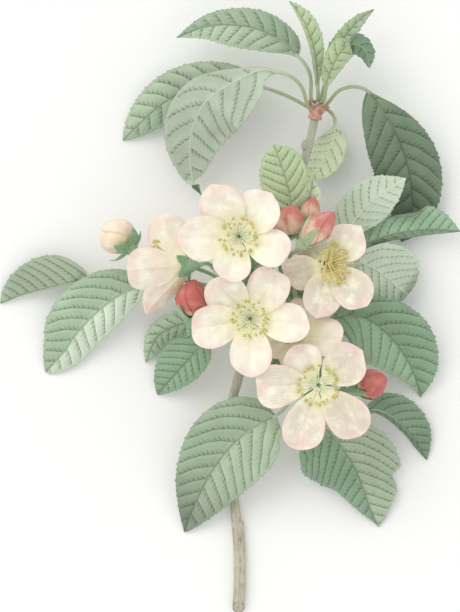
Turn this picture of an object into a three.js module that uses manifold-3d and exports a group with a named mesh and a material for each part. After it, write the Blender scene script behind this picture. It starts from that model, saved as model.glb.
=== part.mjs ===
// An apple blossom branch: a cut shoot with two flowering spurs, laid on a flat surface.
// Millimetres, +Z up. The branch lies in the XY plane with its cut end towards -Y and its faces
// turned up; the origin is on the surface, under the middle of the branch.
//
// Every leaf is one solid (stalk and blade), every bloom is three (green cup on its stalk, petals,
// stamens with the pistil) and every bud is two (green cup on its stalk, closed petals).

import * as THREE from "three";
import { mergeVertices } from "three/addons/utils/BufferGeometryUtils.js";
import Module from "manifold-3d";

const wasm = await Module();
wasm.setup();

// ---- Driving dimensions -------------------------------------------------------------------------

const SEAT_GAP = 0.3; // clearance between a piece and what carries it
const BLADE_THICK = 0.6; // leaf blades and sepals
const PETAL_THICK = 0.6;
const STALK_RADIUS = 0.75; // leaf stalk
const RIB_DEPTH = 0.55; // how far the midrib stands out of the underside at the blade's base
const TOOTH_DEPTH = 0.9; // leaf margin
const PEDICEL_RADIUS = 0.8; // flower stalk
const CUP_RADIUS = 2.8; // green cup under a bloom or bud
const CUP_LENGTH = 5;
const OLD_WOOD_RADIUS = 2.4;
const SHOOT_RADIUS = 1.9;
const SPUR_RADIUS = 2.7;
const WOOD_SIDES = 8;
const STALK_SIDES = 6;
const STAMENS = 11; // in each bloom
const GOLDEN_ANGLE = Math.PI * (3 - Math.sqrt(5));

const UP = new THREE.Vector3(0, 0, 1);

const MATERIALS = {
  bark: new THREE.MeshStandardMaterial({ color: 0x9c9484, roughness: 0.85, metalness: 0 }),
  scale: new THREE.MeshStandardMaterial({ color: 0xa8604c, roughness: 0.6, metalness: 0 }),
  leaf: new THREE.MeshStandardMaterial({ color: 0x86a082, roughness: 0.6, metalness: 0 }),
  youngLeaf: new THREE.MeshStandardMaterial({ color: 0xa9bd8c, roughness: 0.6, metalness: 0 }),
  calyx: new THREE.MeshStandardMaterial({ color: 0x6f9472, roughness: 0.65, metalness: 0 }),
  petal: new THREE.MeshStandardMaterial({ color: 0xf6ead6, roughness: 0.55, metalness: 0 }),
  bud: new THREE.MeshStandardMaterial({ color: 0xcc7672, roughness: 0.55, metalness: 0 }),
  paleBud: new THREE.MeshStandardMaterial({ color: 0xf3dcbc, roughness: 0.55, metalness: 0 }),
  stamen: new THREE.MeshStandardMaterial({ color: 0xe3d58a, roughness: 0.6, metalness: 0 }),
};

// ---- Small tools --------------------------------------------------------------------------------

const vec = ([x, y, z]) => new THREE.Vector3(x, y, z);
const radians = THREE.MathUtils.degToRad;
const lerp = THREE.MathUtils.lerp;
const clamp = THREE.MathUtils.clamp;
const steps = (count) => Array.from({ length: count + 1 }, (_, i) => i / count);

// A value that changes along a length, from stops such as [[0, 180], [0.8, 180], [1, 60]].
function along(stops, t) {
  if (typeof stops === "number") return stops;
  const next = stops.findIndex(([at]) => at >= t);
  if (next === 0) return stops[0][1];
  if (next < 0) return stops[stops.length - 1][1];
  const [t0, v0] = stops[next - 1];
  const [t1, v1] = stops[next];
  return lerp(v0, v1, THREE.MathUtils.smoothstep(t, t0, t1));
}

// A smooth line through points, read by its length: 0 at its start, 1 at its end.
class Route {
  constructor(points) {
    this.curve = new THREE.CatmullRomCurve3(points, false, "catmullrom", 0.5);
    this.curve.arcLengthDivisions = 40 * points.length;
    this.count = points.length;
  }
  get length() {
    return this.curve.getLength();
  }
  point(u) {
    return this.curve.getPointAt(clamp(u, 0, 1));
  }
  tangent(u) {
    return this.curve.getTangentAt(clamp(u, 0, 1));
  }
  // The share of the length at which the line passes its point number `index`.
  shareAt(index) {
    const lengths = this.curve.getLengths();
    const sample = Math.round((index / (this.count - 1)) * (lengths.length - 1));
    return lengths[sample] / lengths[lengths.length - 1];
  }
}

// The side and upper directions across a line that runs along `tangent`, turned by `roll` degrees.
function frameAcross(tangent, up, roll = 0) {
  const normal = up.clone().addScaledVector(tangent, -up.dot(tangent)).normalize();
  normal.applyAxisAngle(tangent, radians(roll));
  return { normal, side: new THREE.Vector3().crossVectors(tangent, normal) };
}

// A closed body gathered triangle by triangle; corners are shared by their key.
class Body {
  constructor() {
    this.keys = new Map();
    this.points = [];
    this.faces = [];
  }
  corner(key, make) {
    if (!this.keys.has(key)) {
      this.keys.set(key, this.points.length);
      this.points.push(make());
    }
    return this.keys.get(key);
  }
  face(a, b, c) {
    if (a !== b && b !== c && c !== a) this.faces.push([a, b, c]);
  }
  fan(loop) {
    for (let i = 1; i < loop.length - 1; i++) this.face(loop[0], loop[i], loop[i + 1]);
  }
  geometry() {
    const volume = this.faces.reduce((sum, [a, b, c]) => {
      const [p, q, r] = [a, b, c].map((i) => this.points[i]);
      return sum + p.dot(new THREE.Vector3().crossVectors(q, r));
    }, 0);
    const index = this.faces.flatMap(([a, b, c]) => (volume > 0 ? [a, b, c] : [a, c, b]));
    const made = new THREE.BufferGeometry().setFromPoints(this.points);
    return made.setIndex(index);
  }
}

// A body through closed rings of equal count, with flat ends.
function loft(rings) {
  const body = new Body();
  const id = (r, i) => body.corner(`${r}:${i % rings[r].length}`, () => rings[r][i % rings[r].length]);
  for (let r = 0; r < rings.length - 1; r++) {
    for (let i = 0; i < rings[r].length; i++) {
      body.face(id(r, i), id(r, i + 1), id(r + 1, i + 1));
      body.face(id(r, i), id(r + 1, i + 1), id(r + 1, i));
    }
  }
  const last = rings.length - 1;
  body.fan(rings[0].map((_, i) => id(0, i)).reverse());
  body.fan(rings[last].map((_, i) => id(last, i)));
  return body.geometry();
}

// A tube of changing radius along a route. With an even count of sides it has a flat underside.
function tube(route, radius, { sides = STALK_SIDES, count = 8, up = UP, shares = steps(count) } = {}) {
  return loft(
    shares.map((u) => {
      const centre = route.point(u);
      const { normal, side } = frameAcross(route.tangent(u), up);
      return Array.from({ length: sides }, (_, i) => {
        const angle = ((i + 0.5) / sides) * 2 * Math.PI;
        return centre
          .clone()
          .addScaledVector(side, radius(u) * Math.sin(angle))
          .addScaledVector(normal, radius(u) * Math.cos(angle));
      });
    }),
  );
}

function solid(geometry) {
  const bare = geometry.clone();
  bare.deleteAttribute("normal");
  bare.deleteAttribute("uv");
  const merged = mergeVertices(bare, 1e-4);
  return new wasm.Manifold(
    new wasm.Mesh({
      numProp: 3,
      vertProperties: merged.attributes.position.array,
      triVerts: new Uint32Array(merged.index.array),
    }),
  );
}

function fuse(geometries) {
  const mesh = geometries
    .map(solid)
    .reduce((sum, next) => sum.add(next))
    .getMesh();
  return new THREE.BufferGeometry()
    .setAttribute("position", new THREE.BufferAttribute(new Float32Array(mesh.vertProperties), 3))
    .setIndex(new THREE.BufferAttribute(new Uint32Array(mesh.triVerts), 1));
}

function piece(name, geometry, material) {
  const mesh = new THREE.Mesh(geometry, material);
  mesh.name = name;
  return mesh;
}

// ---- Blades: leaves, petals and sepals ----------------------------------------------------------

// The outline of a blade: its half width at t, from 0 at the base to 1 at the tip, for a full half
// width of 1. `base` and `point` say how soon it widens and how slowly it closes.
function outline(t, base, point) {
  const fullest = base / (base + point);
  const most = fullest ** base * (1 - fullest) ** point;
  return (t ** base * (1 - t) ** point) / most;
}

// A thin plate that grows from a round stalk and is bent across and along.
// Across, each half leaves the rib at its `fold` and turns by its `bend` on the way to the margin.
// Lengths keep, as in a real blade, so a strong bend rolls the margin over.
class Blade {
  constructor(spec) {
    Object.assign(
      this,
      {
        up: UP,
        stalk: [],
        roll: 0,
        fold: [8, 8],
        bend: [-14, -14],
        wave: 0,
        waves: 2,
        base: [0.6, 0.6],
        point: [0.9, 0.9],
        grip: 1.3,
        stalkRadius: STALK_RADIUS,
        thick: BLADE_THICK,
        ribDepth: RIB_DEPTH,
        rows: 6,
        teeth: 11,
        toothDepth: TOOTH_DEPTH,
        columns: [0.55],
        stalkSteps: 5,
      },
      spec,
    );
    this.route = new Route([...this.stalk, ...this.rib]);
    this.start = this.route.shareAt(this.stalk.length);
  }
  // Where t, from -1 at the stalk's foot through 0 at the blade's base to 1 at its tip, lies.
  share(t) {
    return t < 0 ? this.start * (1 + t) : lerp(this.start, 1, t);
  }
  halfWidth(half, t) {
    const stem = this.stalkRadius * (1 - clamp(t, 0, 1));
    if (t <= 0) return stem;
    return Math.hypot(stem, this.halves[half] * outline(t, this.base[half], this.point[half]));
  }
  // How far out (x), how far up (y) and how turned (angle) the blade is, `reach` mm from the rib.
  across(half, reach, t) {
    const parts = 6;
    const fold = radians(along(this.fold[half], t));
    const bend = radians(along(this.bend[half], t));
    const at = { x: 0, y: 0, angle: fold };
    const full = this.halves[half];
    for (let i = 0; i < parts; i++) {
      at.angle = fold + bend * Math.min((reach * (i + 0.5)) / parts / full, 1) ** this.grip;
      at.x += (Math.cos(at.angle) * reach) / parts;
      at.y += (Math.sin(at.angle) * reach) / parts;
    }
    return at;
  }
  // A corner of the plate: c runs from -1 (left margin) to 1 (right margin), face is 1 on the
  // upper side and -1 on the underside, and tooth is how far the margin stands out there.
  corner(c, t, face, tooth = 0) {
    const u = this.share(t);
    const tangent = this.route.tangent(u);
    const { normal, side } = frameAcross(tangent, this.up, along(this.roll, Math.max(t, 0)));
    const half = c < 0 ? 0 : 1;
    const width = this.halfWidth(half, t);
    const inStalk = 1 - THREE.MathUtils.smoothstep(t, 0, 0.12);
    const at = this.across(half, Math.abs(c) * width + tooth, Math.max(t, 0));
    const flat = 1 - inStalk;
    const phase = 2 * Math.PI * (this.waves * t + half * 0.3);
    const ripple = this.wave * c * c * Math.sin(phase) * (1 - t) * flat;
    const x = Math.sign(c) * lerp(Math.abs(c) * width, at.x, flat);
    const y = at.y * flat + ripple;
    const turn = Math.sign(c) * at.angle * flat;
    const round = c === 0 ? 1 : 0.45;
    let half_thick = lerp(this.thick / 2, this.stalkRadius * round, inStalk);
    if (c === 0 && face < 0) half_thick += this.ribDepth * (1 - clamp(t, 0, 1)) * flat;
    const point = this.route
      .point(u)
      .addScaledVector(side, x - face * half_thick * Math.sin(turn))
      .addScaledVector(normal, y + face * half_thick * Math.cos(turn))
      .addScaledVector(tangent, tooth * 0.6);
    return point;
  }
  geometry() {
    const body = new Body();
    const rows = Array.isArray(this.rows) ? this.rows : steps(this.rows).slice(1, -1);
    const stalk = this.stalk.length ? steps(this.stalkSteps).map((u) => u - 1) : [0];
    const rib = [...stalk, ...rows, 1].map((t) => ({ c: 0, t }));
    const column = (c) => rows.map((t) => ({ c, t }));
    const margin = (c) => [...stalk.map((t) => ({ c, t })), ...this.marginStops(rows, c), { c, t: 1 }];
    const id = (face) => (p) =>
      body.corner(p.t === 1 ? `tip${face}` : `${p.c},${p.t},${face}`, () =>
        this.corner(p.c, p.t, face, p.tooth),
      );
    // Two lines of corners joined by a strip of triangles.
    const zip = (left, right, face) => {
      const at = id(face);
      let [i, j] = [0, 0];
      while (i < left.length - 1 || j < right.length - 1) {
        const takeLeft =
          j === right.length - 1 || (i < left.length - 1 && left[i + 1].t <= right[j + 1].t + 1e-9);
        const next = takeLeft ? left[i + 1] : right[j + 1];
        const [a, b, c] = [at(left[i]), at(right[j]), at(next)];
        if (face > 0) body.face(a, b, c);
        else body.face(a, c, b);
        if (takeLeft) i += 1;
        else j += 1;
      }
    };
    for (const face of [1, -1]) {
      for (const sign of [-1, 1]) {
        const lines = [rib, ...this.columns.map((c) => column(sign * c)), margin(sign)];
        const split = stalk.length - 1; // where the blade's own columns begin
        const pair = (inner, outer) => (sign < 0 ? zip(outer, inner, face) : zip(inner, outer, face));
        pair(rib.slice(0, split + 1), lines[lines.length - 1].slice(0, split + 1));
        const cut = lines.map((line, n) => (n === 0 || n === lines.length - 1 ? line.slice(split) : line));
        for (let n = 0; n < cut.length - 1; n++) pair(cut[n], cut[n + 1]);
        const foot = [cut[0][0], ...cut.slice(1, -1).map((line) => line[0]).reverse()];
        const edge = cut[cut.length - 1][0];
        this.close(body, id(face), [foot[0], edge, ...foot.slice(1)], sign * face);
        const ends = cut.slice(1, -1).map((line) => line[line.length - 1]);
        this.close(body, id(face), [{ c: 0, t: 1 }, ...ends], sign * face);
      }
    }
    for (const sign of [-1, 1]) {
      const line = margin(sign);
      for (let i = 0; i < line.length - 1; i++) {
        const loop = [id(1)(line[i]), id(1)(line[i + 1]), id(-1)(line[i + 1]), id(-1)(line[i])];
        body.fan(sign > 0 ? loop.reverse() : loop);
      }
    }
    const first = { t: rib[0].t };
    const ring = [-1, 0, 1].map((c) => id(1)({ c, ...first }));
    ring.push(...[1, 0, -1].map((c) => id(-1)({ c, ...first })));
    body.fan(ring.reverse());
    return body.geometry();
  }
  // Fills the small gap that a strip of columns leaves at its end.
  close(body, at, loop, turn) {
    const corners = loop.map(at);
    if (corners.length > 2) body.fan(turn > 0 ? corners : corners.reverse());
  }
  // The corners of the margin between the base and the tip: the teeth, each a notch and a point.
  marginStops(rows, c) {
    if (!this.teeth) return (this.edge ?? rows).map((t) => ({ c, t }));
    return Array.from({ length: 2 * this.teeth - 1 }, (_, i) => {
      const n = i + 1;
      const t = (n + (n % 2) * 0.45) / (2 * this.teeth);
      const half = c < 0 ? 0 : 1;
      const size = this.toothDepth * clamp(this.halfWidth(half, t) / this.halves[half] + 0.15, 0, 1);
      return { c, t, tooth: n % 2 ? size : 0 };
    });
  }
}

// Corners below the surface are pressed flat onto it.
function layOnSurface(geometry) {
  const at = geometry.getAttribute("position");
  for (let i = 0; i < at.count; i++) at.setZ(i, Math.max(at.getZ(i), 0));
  return geometry;
}

// ---- Wood ---------------------------------------------------------------------------------------

const OLD_WOOD_HEIGHT = OLD_WOOD_RADIUS * Math.cos(Math.PI / WOOD_SIDES); // its flat side is down
const COLLAR_Y = -85.6;

const WOOD = {
  old: {
    route: new Route(
      [[3.4, -120.6], [3.9, -110], [3.8, -98], [3, COLLAR_Y]].map(([x, y]) => vec([x, y, OLD_WOOD_HEIGHT])),
    ),
    radius: () => OLD_WOOD_RADIUS,
  },
  shoot: {
    route: new Route(
      [
        [2.8, -87, 2.3], [1.8, -78, 2.8], [0.6, -66, 3.8], [-0.4, -52, 5.4], [0.4, -39.6, 7.6],
        [3.4, -28, 10.5],
        [7, -15, 13.5], [11, -1, 15.5], [15, 13, 16], [19.6, 27, 16], [24, 40, 16], [28.2, 54, 16],
        [32, 67, 16.5], [34.8, 80.8, 17],
      ].map(vec),
    ),
    radius: (u) => lerp(SHOOT_RADIUS, 1.6, u),
  },
  leftSpur: {
    route: new Route([[9.5, -4, 15], [8.5, -1.5, 20], [7.5, 1, 26]].map(vec)),
    radius: (u) => lerp(2.2, SPUR_RADIUS, u),
  },
  rightSpur: {
    route: new Route([[10, -5, 14.5], [19, -6.5, 17], [26.5, -5.5, 24]].map(vec)),
    radius: (u) => lerp(1.9, SPUR_RADIUS, u),
  },
};

// Where a stalk that heads for `first` is seated: on the skin of the wood, just clear of it.
function seatOn(wood, first) {
  const { route, radius } = WOOD[wood];
  let best = { distance: Infinity };
  for (const u of steps(240)) {
    const axis = route.point(u);
    const distance = axis.distanceTo(first);
    if (distance < best.distance) best = { u, axis, distance };
  }
  const out = first.clone().sub(best.axis).normalize();
  return best.axis.clone().addScaledVector(out, radius(best.u) + SEAT_GAP);
}

// The old wood, cut off on the slant, with the raised ring where last year's growth ended.
function oldWood() {
  const { route } = WOOD.old;
  const slant = 0.75;
  const plain = [0, 0.03, 0.35, 0.65, 0.94].map((share) => [share, 1]);
  const swelling = [[0.955, 1.09], [0.985, 1.09], [1, 0.9]];
  const rings = [...plain, ...swelling].map(([u, swell], ring) => {
    const centre = route.point(u);
    const tangent = route.tangent(u);
    const { normal, side } = frameAcross(tangent, UP);
    return Array.from({ length: WOOD_SIDES }, (_, i) => {
      const angle = ((i + 0.5) / WOOD_SIDES) * 2 * Math.PI;
      const high = Math.cos(angle) * OLD_WOOD_RADIUS;
      const corner = centre
        .clone()
        .addScaledVector(side, Math.sin(angle) * OLD_WOOD_RADIUS * swell)
        .addScaledVector(normal, high > 0 ? high * swell : high);
      return ring === 0 ? corner.addScaledVector(tangent, high * slant) : corner;
    });
  });
  return loft(rings);
}

function ball(centre, [rx, ry, rz], around = 8, rows = 5) {
  return new THREE.SphereGeometry(1, around, rows).scale(rx, ry, rz).translate(...centre);
}

function woodPiece() {
  const { shoot, leftSpur, rightSpur } = WOOD;
  const tip = shoot.route.point(1).toArray();
  const tipRadius = shoot.radius(1);
  const sideways = new THREE.Vector3(1, 0, 0);
  const parts = [
    oldWood(),
    tube(shoot.route, shoot.radius, { sides: 6, count: 11 }),
    ball(tip, [tipRadius, tipRadius, tipRadius], 6, 4),
    ball([29.6, 64.4, 17.2], [1.2, 2.2, 1.3], 6, 4), // a resting bud on the shoot
    ...[leftSpur, rightSpur].flatMap((spur) => {
      const end = spur.route.point(1).toArray();
      const across = spur === leftSpur ? sideways : UP;
      return [
        tube(spur.route, spur.radius, { sides: 6, count: 3, up: across }),
        ball(end, [SPUR_RADIUS, SPUR_RADIUS, SPUR_RADIUS], 7, 4),
      ];
    }),
  ];
  return piece("wood", fuse(parts), MATERIALS.bark);
}

// A ring turned about the Z axis from its profile of radii and heights.
function collar(profile, sides) {
  const points = profile.map(([radius, height]) => new THREE.Vector2(radius, height));
  return new THREE.LatheGeometry(points, sides).rotateX(Math.PI / 2);
}

// The ring of red bud scales that the crown of leaves grew out of.
const SCALE_RING = { at: 0.965, inner: 2.1, outer: 2.8, length: 1.1 };
const SCALE_LENGTHS = [3.6, 3.2, 3.8, 3.2, 3.6];

function budScales() {
  const { route } = WOOD.shoot;
  const axis = route.tangent(SCALE_RING.at);
  const turnTo = new THREE.Quaternion().setFromUnitVectors(UP, axis);
  const { inner, outer, length } = SCALE_RING;
  const profile = [[inner, 0], [outer, 0], [outer + 0.15, length], [inner + 0.1, length], [inner, 0]];
  const ring = collar(profile, 5);
  const scales = SCALE_LENGTHS.map((reach, i) => {
    const azimuth = ((i + 0.75) / SCALE_LENGTHS.length) * 2 * Math.PI;
    const out = polar(azimuth, 1, 0);
    const rib = [0, 0.35, 0.7, 1].map((s) =>
      out.clone().multiplyScalar(outer - 0.65 + 1.8 * s * s).addScaledVector(UP, 0.5 + reach * s),
    );
    return new Blade({
      rib,
      up: out.clone().negate(),
      halves: [1.3, 1.3],
      fold: [18, 18],
      bend: [20, 20],
      base: [0.3, 0.3],
      point: [0.7, 0.7],
      stalkRadius: 0.4,
      ribDepth: 0,
      thick: 0.6,
      rows: 2,
      teeth: 0,
      columns: [],
    }).geometry();
  });
  const geometry = fuse([ring, ...scales]);
  geometry.applyQuaternion(turnTo);
  geometry.translate(...route.point(SCALE_RING.at).toArray());
  return piece("bud_scales", geometry, MATERIALS.scale);
}

// ---- Leaves -------------------------------------------------------------------------------------

// `stalk` runs from just off the wood to the blade; `rib` runs from the blade's base to its tip.
// `halves` are the widths left and right of the rib, as seen on the upper side with the tip away,
// and `base` and `point` shape the outline of each half. A roll of 180 turns the underside up.
const LARGE = { rows: 6, teeth: 11, stalkSteps: 4 };
const MIDDLING = { rows: 5, teeth: 9, stalkSteps: 3 };
const SMALL = { rows: 4, teeth: 6, stalkSteps: 2 };

const LEAVES = [
  {
    name: "leaf_top_left", wood: "shoot", ...LARGE,
    stalk: [[32.2, 82.8, 18.8], [32, 91, 21], [30, 96, 22.4]],
    rib: [
      [26.8, 99.6, 23], [21, 105, 24.5], [11, 110.2, 25], [0, 112, 22.5], [-10, 111.5, 17.5],
      [-21.4, 107.5, 11],
    ],
    halves: [8.6, 6.4], fold: [10, 12], bend: [-20, -24], base: [0.55, 0.5], point: [1.3, 0.85],
  },
  {
    name: "leaf_left_back", wood: "shoot", ...LARGE,
    stalk: [[31, 79.8, 15.4], [26.5, 82.4, 14.6], [20, 85.4, 14]],
    rib: [
      [13.6, 87.6, 13.5], [6, 89.2, 13.5], [-6, 89, 12.5], [-18, 86.2, 10], [-29, 79.8, 6.6],
      [-43, 66.9, 0.6],
    ],
    halves: [10, 10], fold: [6, 6], bend: [-10, -16], base: [0.62, 0.7], point: [0.85, 0.7],
  },
  {
    name: "leaf_left_front", wood: "shoot", ...LARGE, rows: 7,
    stalk: [[31, 79.8, 19.8], [28.6, 87, 23.6], [24, 91.6, 26]],
    rib: [
      [19, 93, 27], [12.6, 94, 28], [6, 91.4, 28], [-2.4, 87, 27], [-9.6, 81.6, 24.5], [-14, 74, 21],
      [-15.8, 66, 17], [-15.8, 57.4, 13], [-14.8, 51, 9.5], [-11.2, 44.6, 6],
    ],
    halves: [11, 16.6], roll: [[0, 176], [0.88, 176], [0.96, 30]], fold: [-9, -8], bend: [22, 16],
    base: [1.7, 0.8], point: [1.3, 1.1],
  },
  {
    name: "leaf_crown_left", wood: "shoot", ...SMALL, rows: 5, stalk: [[35, 84.6, 18.8]],
    rib: [
      [34.8, 87.5, 21], [34.4, 92.6, 23], [33.2, 102.2, 25], [30.2, 111, 25], [26.6, 117.4, 23.5],
      [23.4, 121.6, 21.5],
    ],
    halves: [4, 4.8], fold: [68, -4], bend: [0, -14], base: [0.8, 1.2], point: [0.8, 0.7],
  },
  {
    name: "leaf_crown_right", wood: "shoot", ...SMALL, stalk: [[36.4, 84, 14.6]],
    rib: [[38, 90, 14.5], [41.4, 101, 17], [46, 108, 18.5], [51.2, 114, 19.6], [57.2, 118.4, 20]],
    halves: [3.4, 3.6], fold: [20, 16], bend: [-6, -6], base: [0.8, 0.8], point: [0.8, 0.8],
  },
  {
    name: "leaf_crown_front", wood: "shoot", ...SMALL, rows: 8, teeth: 9, stalk: [[37.4, 82.4, 19.6]],
    rib: [
      [38, 87, 22.5], [39, 91, 24.5], [41.4, 97, 27.5], [44.6, 101.8, 29.5], [48, 104, 30],
      [51.6, 103.2, 29], [54.2, 100, 26.8], [55.2, 94.8, 24],
    ],
    halves: [4.9, 4.5], roll: [[0, -6], [0.5, -6], [0.64, -158], [1, -165]], fold: [8, 8],
    bend: [-14, -14],
    base: [0.7, 0.8], point: [0.65, 0.6],
  },
  {
    name: "leaf_right_large", wood: "shoot", ...LARGE,
    stalk: [[38.4, 80.6, 16.8], [42.4, 85.4, 19.6], [46.8, 87.4, 21.4], [51, 87.4, 22]],
    rib: [
      [54.6, 85.8, 21.5], [60, 79, 20], [65, 71, 17.5], [68.6, 63.2, 14.5], [70.8, 56.4, 11.5],
      [72.4, 48.4, 8],
      [72.8, 40.4, 5], [71.6, 32.6, 2.5], [68.8, 26.2, 0.6],
    ],
    halves: [12.8, 13.6], fold: [6, 8], bend: [-18, -20], base: [1.2, 0.6], point: [1, 0.75],
  },
  {
    name: "leaf_hanging_small", wood: "shoot", ...MIDDLING,
    stalk: [[37.8, 79.2, 14], [40.4, 77.6, 12.5], [41.8, 75, 11.5]],
    rib: [[41.8, 72, 10.5], [41.2, 66.5, 9.5], [38, 60, 8.5], [32, 51.4, 7]],
    halves: [6.8, 6.6], roll: 180, fold: [-8, -8],
    bend: [14, 14], base: [0.6, 0.6], point: [0.55, 0.62],
  },
  {
    name: "leaf_upper_light", wood: "shoot", ...MIDDLING, stalk: [[22.4, 33, 21]],
    rib: [[24.2, 37.4, 25], [23.4, 45.4, 27.5], [21.4, 53, 27.5], [17.4, 64.6, 25]],
    halves: [9.8, 8.4], fold: [8, 8], bend: [-16, -16], base: [0.5, 0.75], point: [0.72, 0.6],
  },
  {
    name: "leaf_upper_small", wood: "shoot", ...SMALL, stalk: [[26.4, 37.4, 18.6]],
    rib: [[28.4, 40, 19.5], [31.4, 44.5, 21], [32.8, 50.4, 20.6]],
    halves: [4.8, 4.4], fold: [10, 10], bend: [-12, -12], base: [0.6, 0.6], point: [0.65, 0.65],
  },
  {
    name: "leaf_right_pale", wood: "rightSpur", ...MIDDLING,
    stalk: [[28.6, 0, 21.6], [34, 10, 20.6], [40, 19.6, 19.4]],
    rib: [
      [44, 25.6, 19], [48.6, 33.4, 20], [52.4, 38.2, 20.6], [58, 43.8, 20.6], [64, 47.6, 19.4],
      [70, 51.4, 17],
    ],
    halves: [8.8, 9.4], roll: 178, fold: [-8, -8], bend: [14, 14], base: [0.9, 0.5], point: [0.6, 0.6],
  },
  {
    name: "leaf_right_folded", wood: "rightSpur", ...MIDDLING, rows: 6,
    stalk: [[30.6, -2, 19.5], [38, 10, 16.4], [46, 20, 15.6]],
    rib: [[52.8, 24.4, 16], [60, 27.6, 16], [68, 29.8, 15.4], [80, 31, 12.6], [92, 30.4, 8]],
    halves: [10.4, 5], fold: [4, -62], bend: [[[0, 176], [0.5, 172], [0.72, -14]], 0], grip: 3.2,
    base: [0.55, 0.6], point: [0.5, 0.7], columns: [0.5, 0.8],
  },
  {
    name: "leaf_right_round", wood: "rightSpur", ...MIDDLING, rows: 6,
    stalk: [[31, -3.6, 23.5], [39, 6, 23], [46, 14, 19.5]],
    rib: [[50.8, 17.6, 17.6], [56.4, 16, 16], [61.4, 12.6, 14], [65.8, 9, 11.6], [69.4, 6, 9]],
    halves: [9, 13.4], roll: [[0, 180], [0.8, 180], [0.95, 50]], fold: [-6, -6], bend: [12, 12],
    base: [0.5, 0.6], point: [0.5, 0.4],
  },
  {
    name: "leaf_right_dark", wood: "rightSpur", ...LARGE, stalk: [[31, -6.5, 20.5], [35, -6.4, 20.4]],
    rib: [
      [38.8, -5.4, 20.4], [46, -3.2, 20.4], [52.6, -3.8, 20], [59, -7.4, 18.4], [65.6, -13.6, 14.6],
      [70, -19.8, 10.6], [73.6, -26.6, 6], [76.2, -36, 0.8],
    ],
    halves: [14.6, 14.6], fold: [12, 10], bend: [-22, -18], base: [1.2, 0.7], point: [1, 1.3],
  },
  {
    name: "leaf_right_low", wood: "rightSpur", ...MIDDLING,
    stalk: [[30.2, -10, 19.5], [39, -22, 15], [48, -35, 13]],
    rib: [
      [54.4, -39.6, 12], [61.2, -41.4, 11.4], [66.8, -45, 9.4], [72, -50.4, 6.6], [75.6, -56, 3.6],
      [78.8, -61, 1],
    ],
    halves: [9.6, 7], fold: [-2, -70], bend: [-18, -6], base: [0.6, 0.6], point: [0.75, 0.75],
  },
  {
    name: "leaf_bottom_right", wood: "rightSpur", ...LARGE,
    stalk: [[28.8, -10, 18.5], [31, -22, 14], [34, -38, 12.4]],
    rib: [
      [38, -47.6, 12.4], [43, -52.6, 12.2], [47.8, -59.4, 11], [51, -65.6, 9.4], [53.4, -72.8, 7.4],
      [56, -80.4, 4.4], [59.4, -88, 0.6],
    ],
    halves: [17.8, 18.2], fold: [8, 8],
    bend: [
      [[0, -20], [0.46, -20], [0.58, -92], [0.72, -24]],
      [[0, -16], [0.4, -24], [0.55, -70], [0.8, -30]],
    ],
    base: [0.7, 0.3], point: [1, 1.35], columns: [0.45, 0.78],
  },
  {
    name: "leaf_bottom_left", wood: "rightSpur", ...LARGE,
    stalk: [[25.4, -11, 22.5], [26, -24, 22], [24.4, -35, 21], [21.4, -40.4, 20.6]],
    rib: [
      [18.2, -43, 20.4], [14.4, -45, 20.2], [8, -48, 19.4], [-0.8, -56.4, 16.6], [-8.8, -68, 11.4],
      [-14.8, -80.4, 5.2],
      [-18.4, -90, 0.6],
    ],
    halves: [16.2, 15.4], fold: [10, 10], bend: [-20, -22], base: [0.3, 0.85], point: [0.8, 0.95],
  },
  {
    name: "leaf_left_low", wood: "leftSpur", ...MIDDLING, stalk: [[4.6, -3.6, 20], [-1.5, -8, 19.5]],
    rib: [[-9, -12.6, 18.5], [-14, -18, 15.5], [-18, -22.4, 12.2], [-22, -26.8, 8.4], [-29, -35, 0.8]],
    halves: [7.4, 10.2], fold: [10, 8], bend: [-12, -20], base: [0.5, 0.6], point: [0.9, 0.85],
  },
  {
    name: "leaf_left_low_back", wood: "leftSpur", ...SMALL, stalk: [[4, -1.6, 16.5], [-3, -3, 14]],
    rib: [[-10, -5, 12.5], [-20, -6.8, 10], [-28.6, -11.4, 6], [-33.8, -22, 1.2]],
    halves: [5, 5.4], fold: [10, 10], bend: [-16, -16], base: [0.62, 0.62], point: [0.8, 0.9],
  },
  {
    name: "leaf_left_large", wood: "leftSpur", ...LARGE,
    stalk: [[3.4, 1.6, 19], [-8, 5, 17], [-22, 7.6, 16]],
    rib: [
      [-32, 8, 16], [-38, 7.4, 15.6], [-46, 3.6, 14], [-54, -2.8, 11.2], [-61, -10, 7.6],
      [-66.4, -17.6, 4], [-73.8, -26, 0.6],
    ],
    halves: [9.4, 14.8], fold: [-4, 8], bend: [-20, -22], base: [0.6, 0.75], point: [0.6, 0.85],
  },
  {
    name: "leaf_left_far", wood: "leftSpur", ...LARGE,
    stalk: [[3.8, 3.4, 15.5], [-10, 9, 11.5], [-28, 12, 9.5], [-46, 13.4, 9]],
    rib: [
      [-56.4, 11.6, 9], [-62, 9, 9], [-69, 7.8, 8], [-76, 7, 6.4], [-84, 4.8, 3.6], [-92, 1.6, 0.6],
    ],
    halves: [7, 12.6], fold: [-66, 6], bend: [0, -24], base: [0.6, 0.6], point: [0.9, 0.8],
  },
  {
    name: "leaf_middle_up", wood: "leftSpur", ...SMALL, stalk: [[8, 5.2, 23]],
    rib: [[8.4, 8, 23.5], [9, 14, 25], [10, 22, 24]],
    halves: [7.5, 7.5], fold: [8, 8], bend: [-14, -14], base: [0.6, 0.6], point: [0.8, 0.8],
  },
  {
    name: "leaf_middle_right", wood: "rightSpur", ...SMALL, stalk: [[24.4, -2, 22.4]],
    rib: [[24.4, 1.2, 23.6], [27.2, 7.4, 24.4], [29.6, 14, 23.4]],
    halves: [7, 7], fold: [8, 8], bend: [-14, -14], base: [0.6, 0.6], point: [0.8, 0.8],
  },
  {
    name: "leaf_middle_low", wood: "rightSpur", ...SMALL, stalk: [[22, -9.6, 22.4]],
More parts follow.
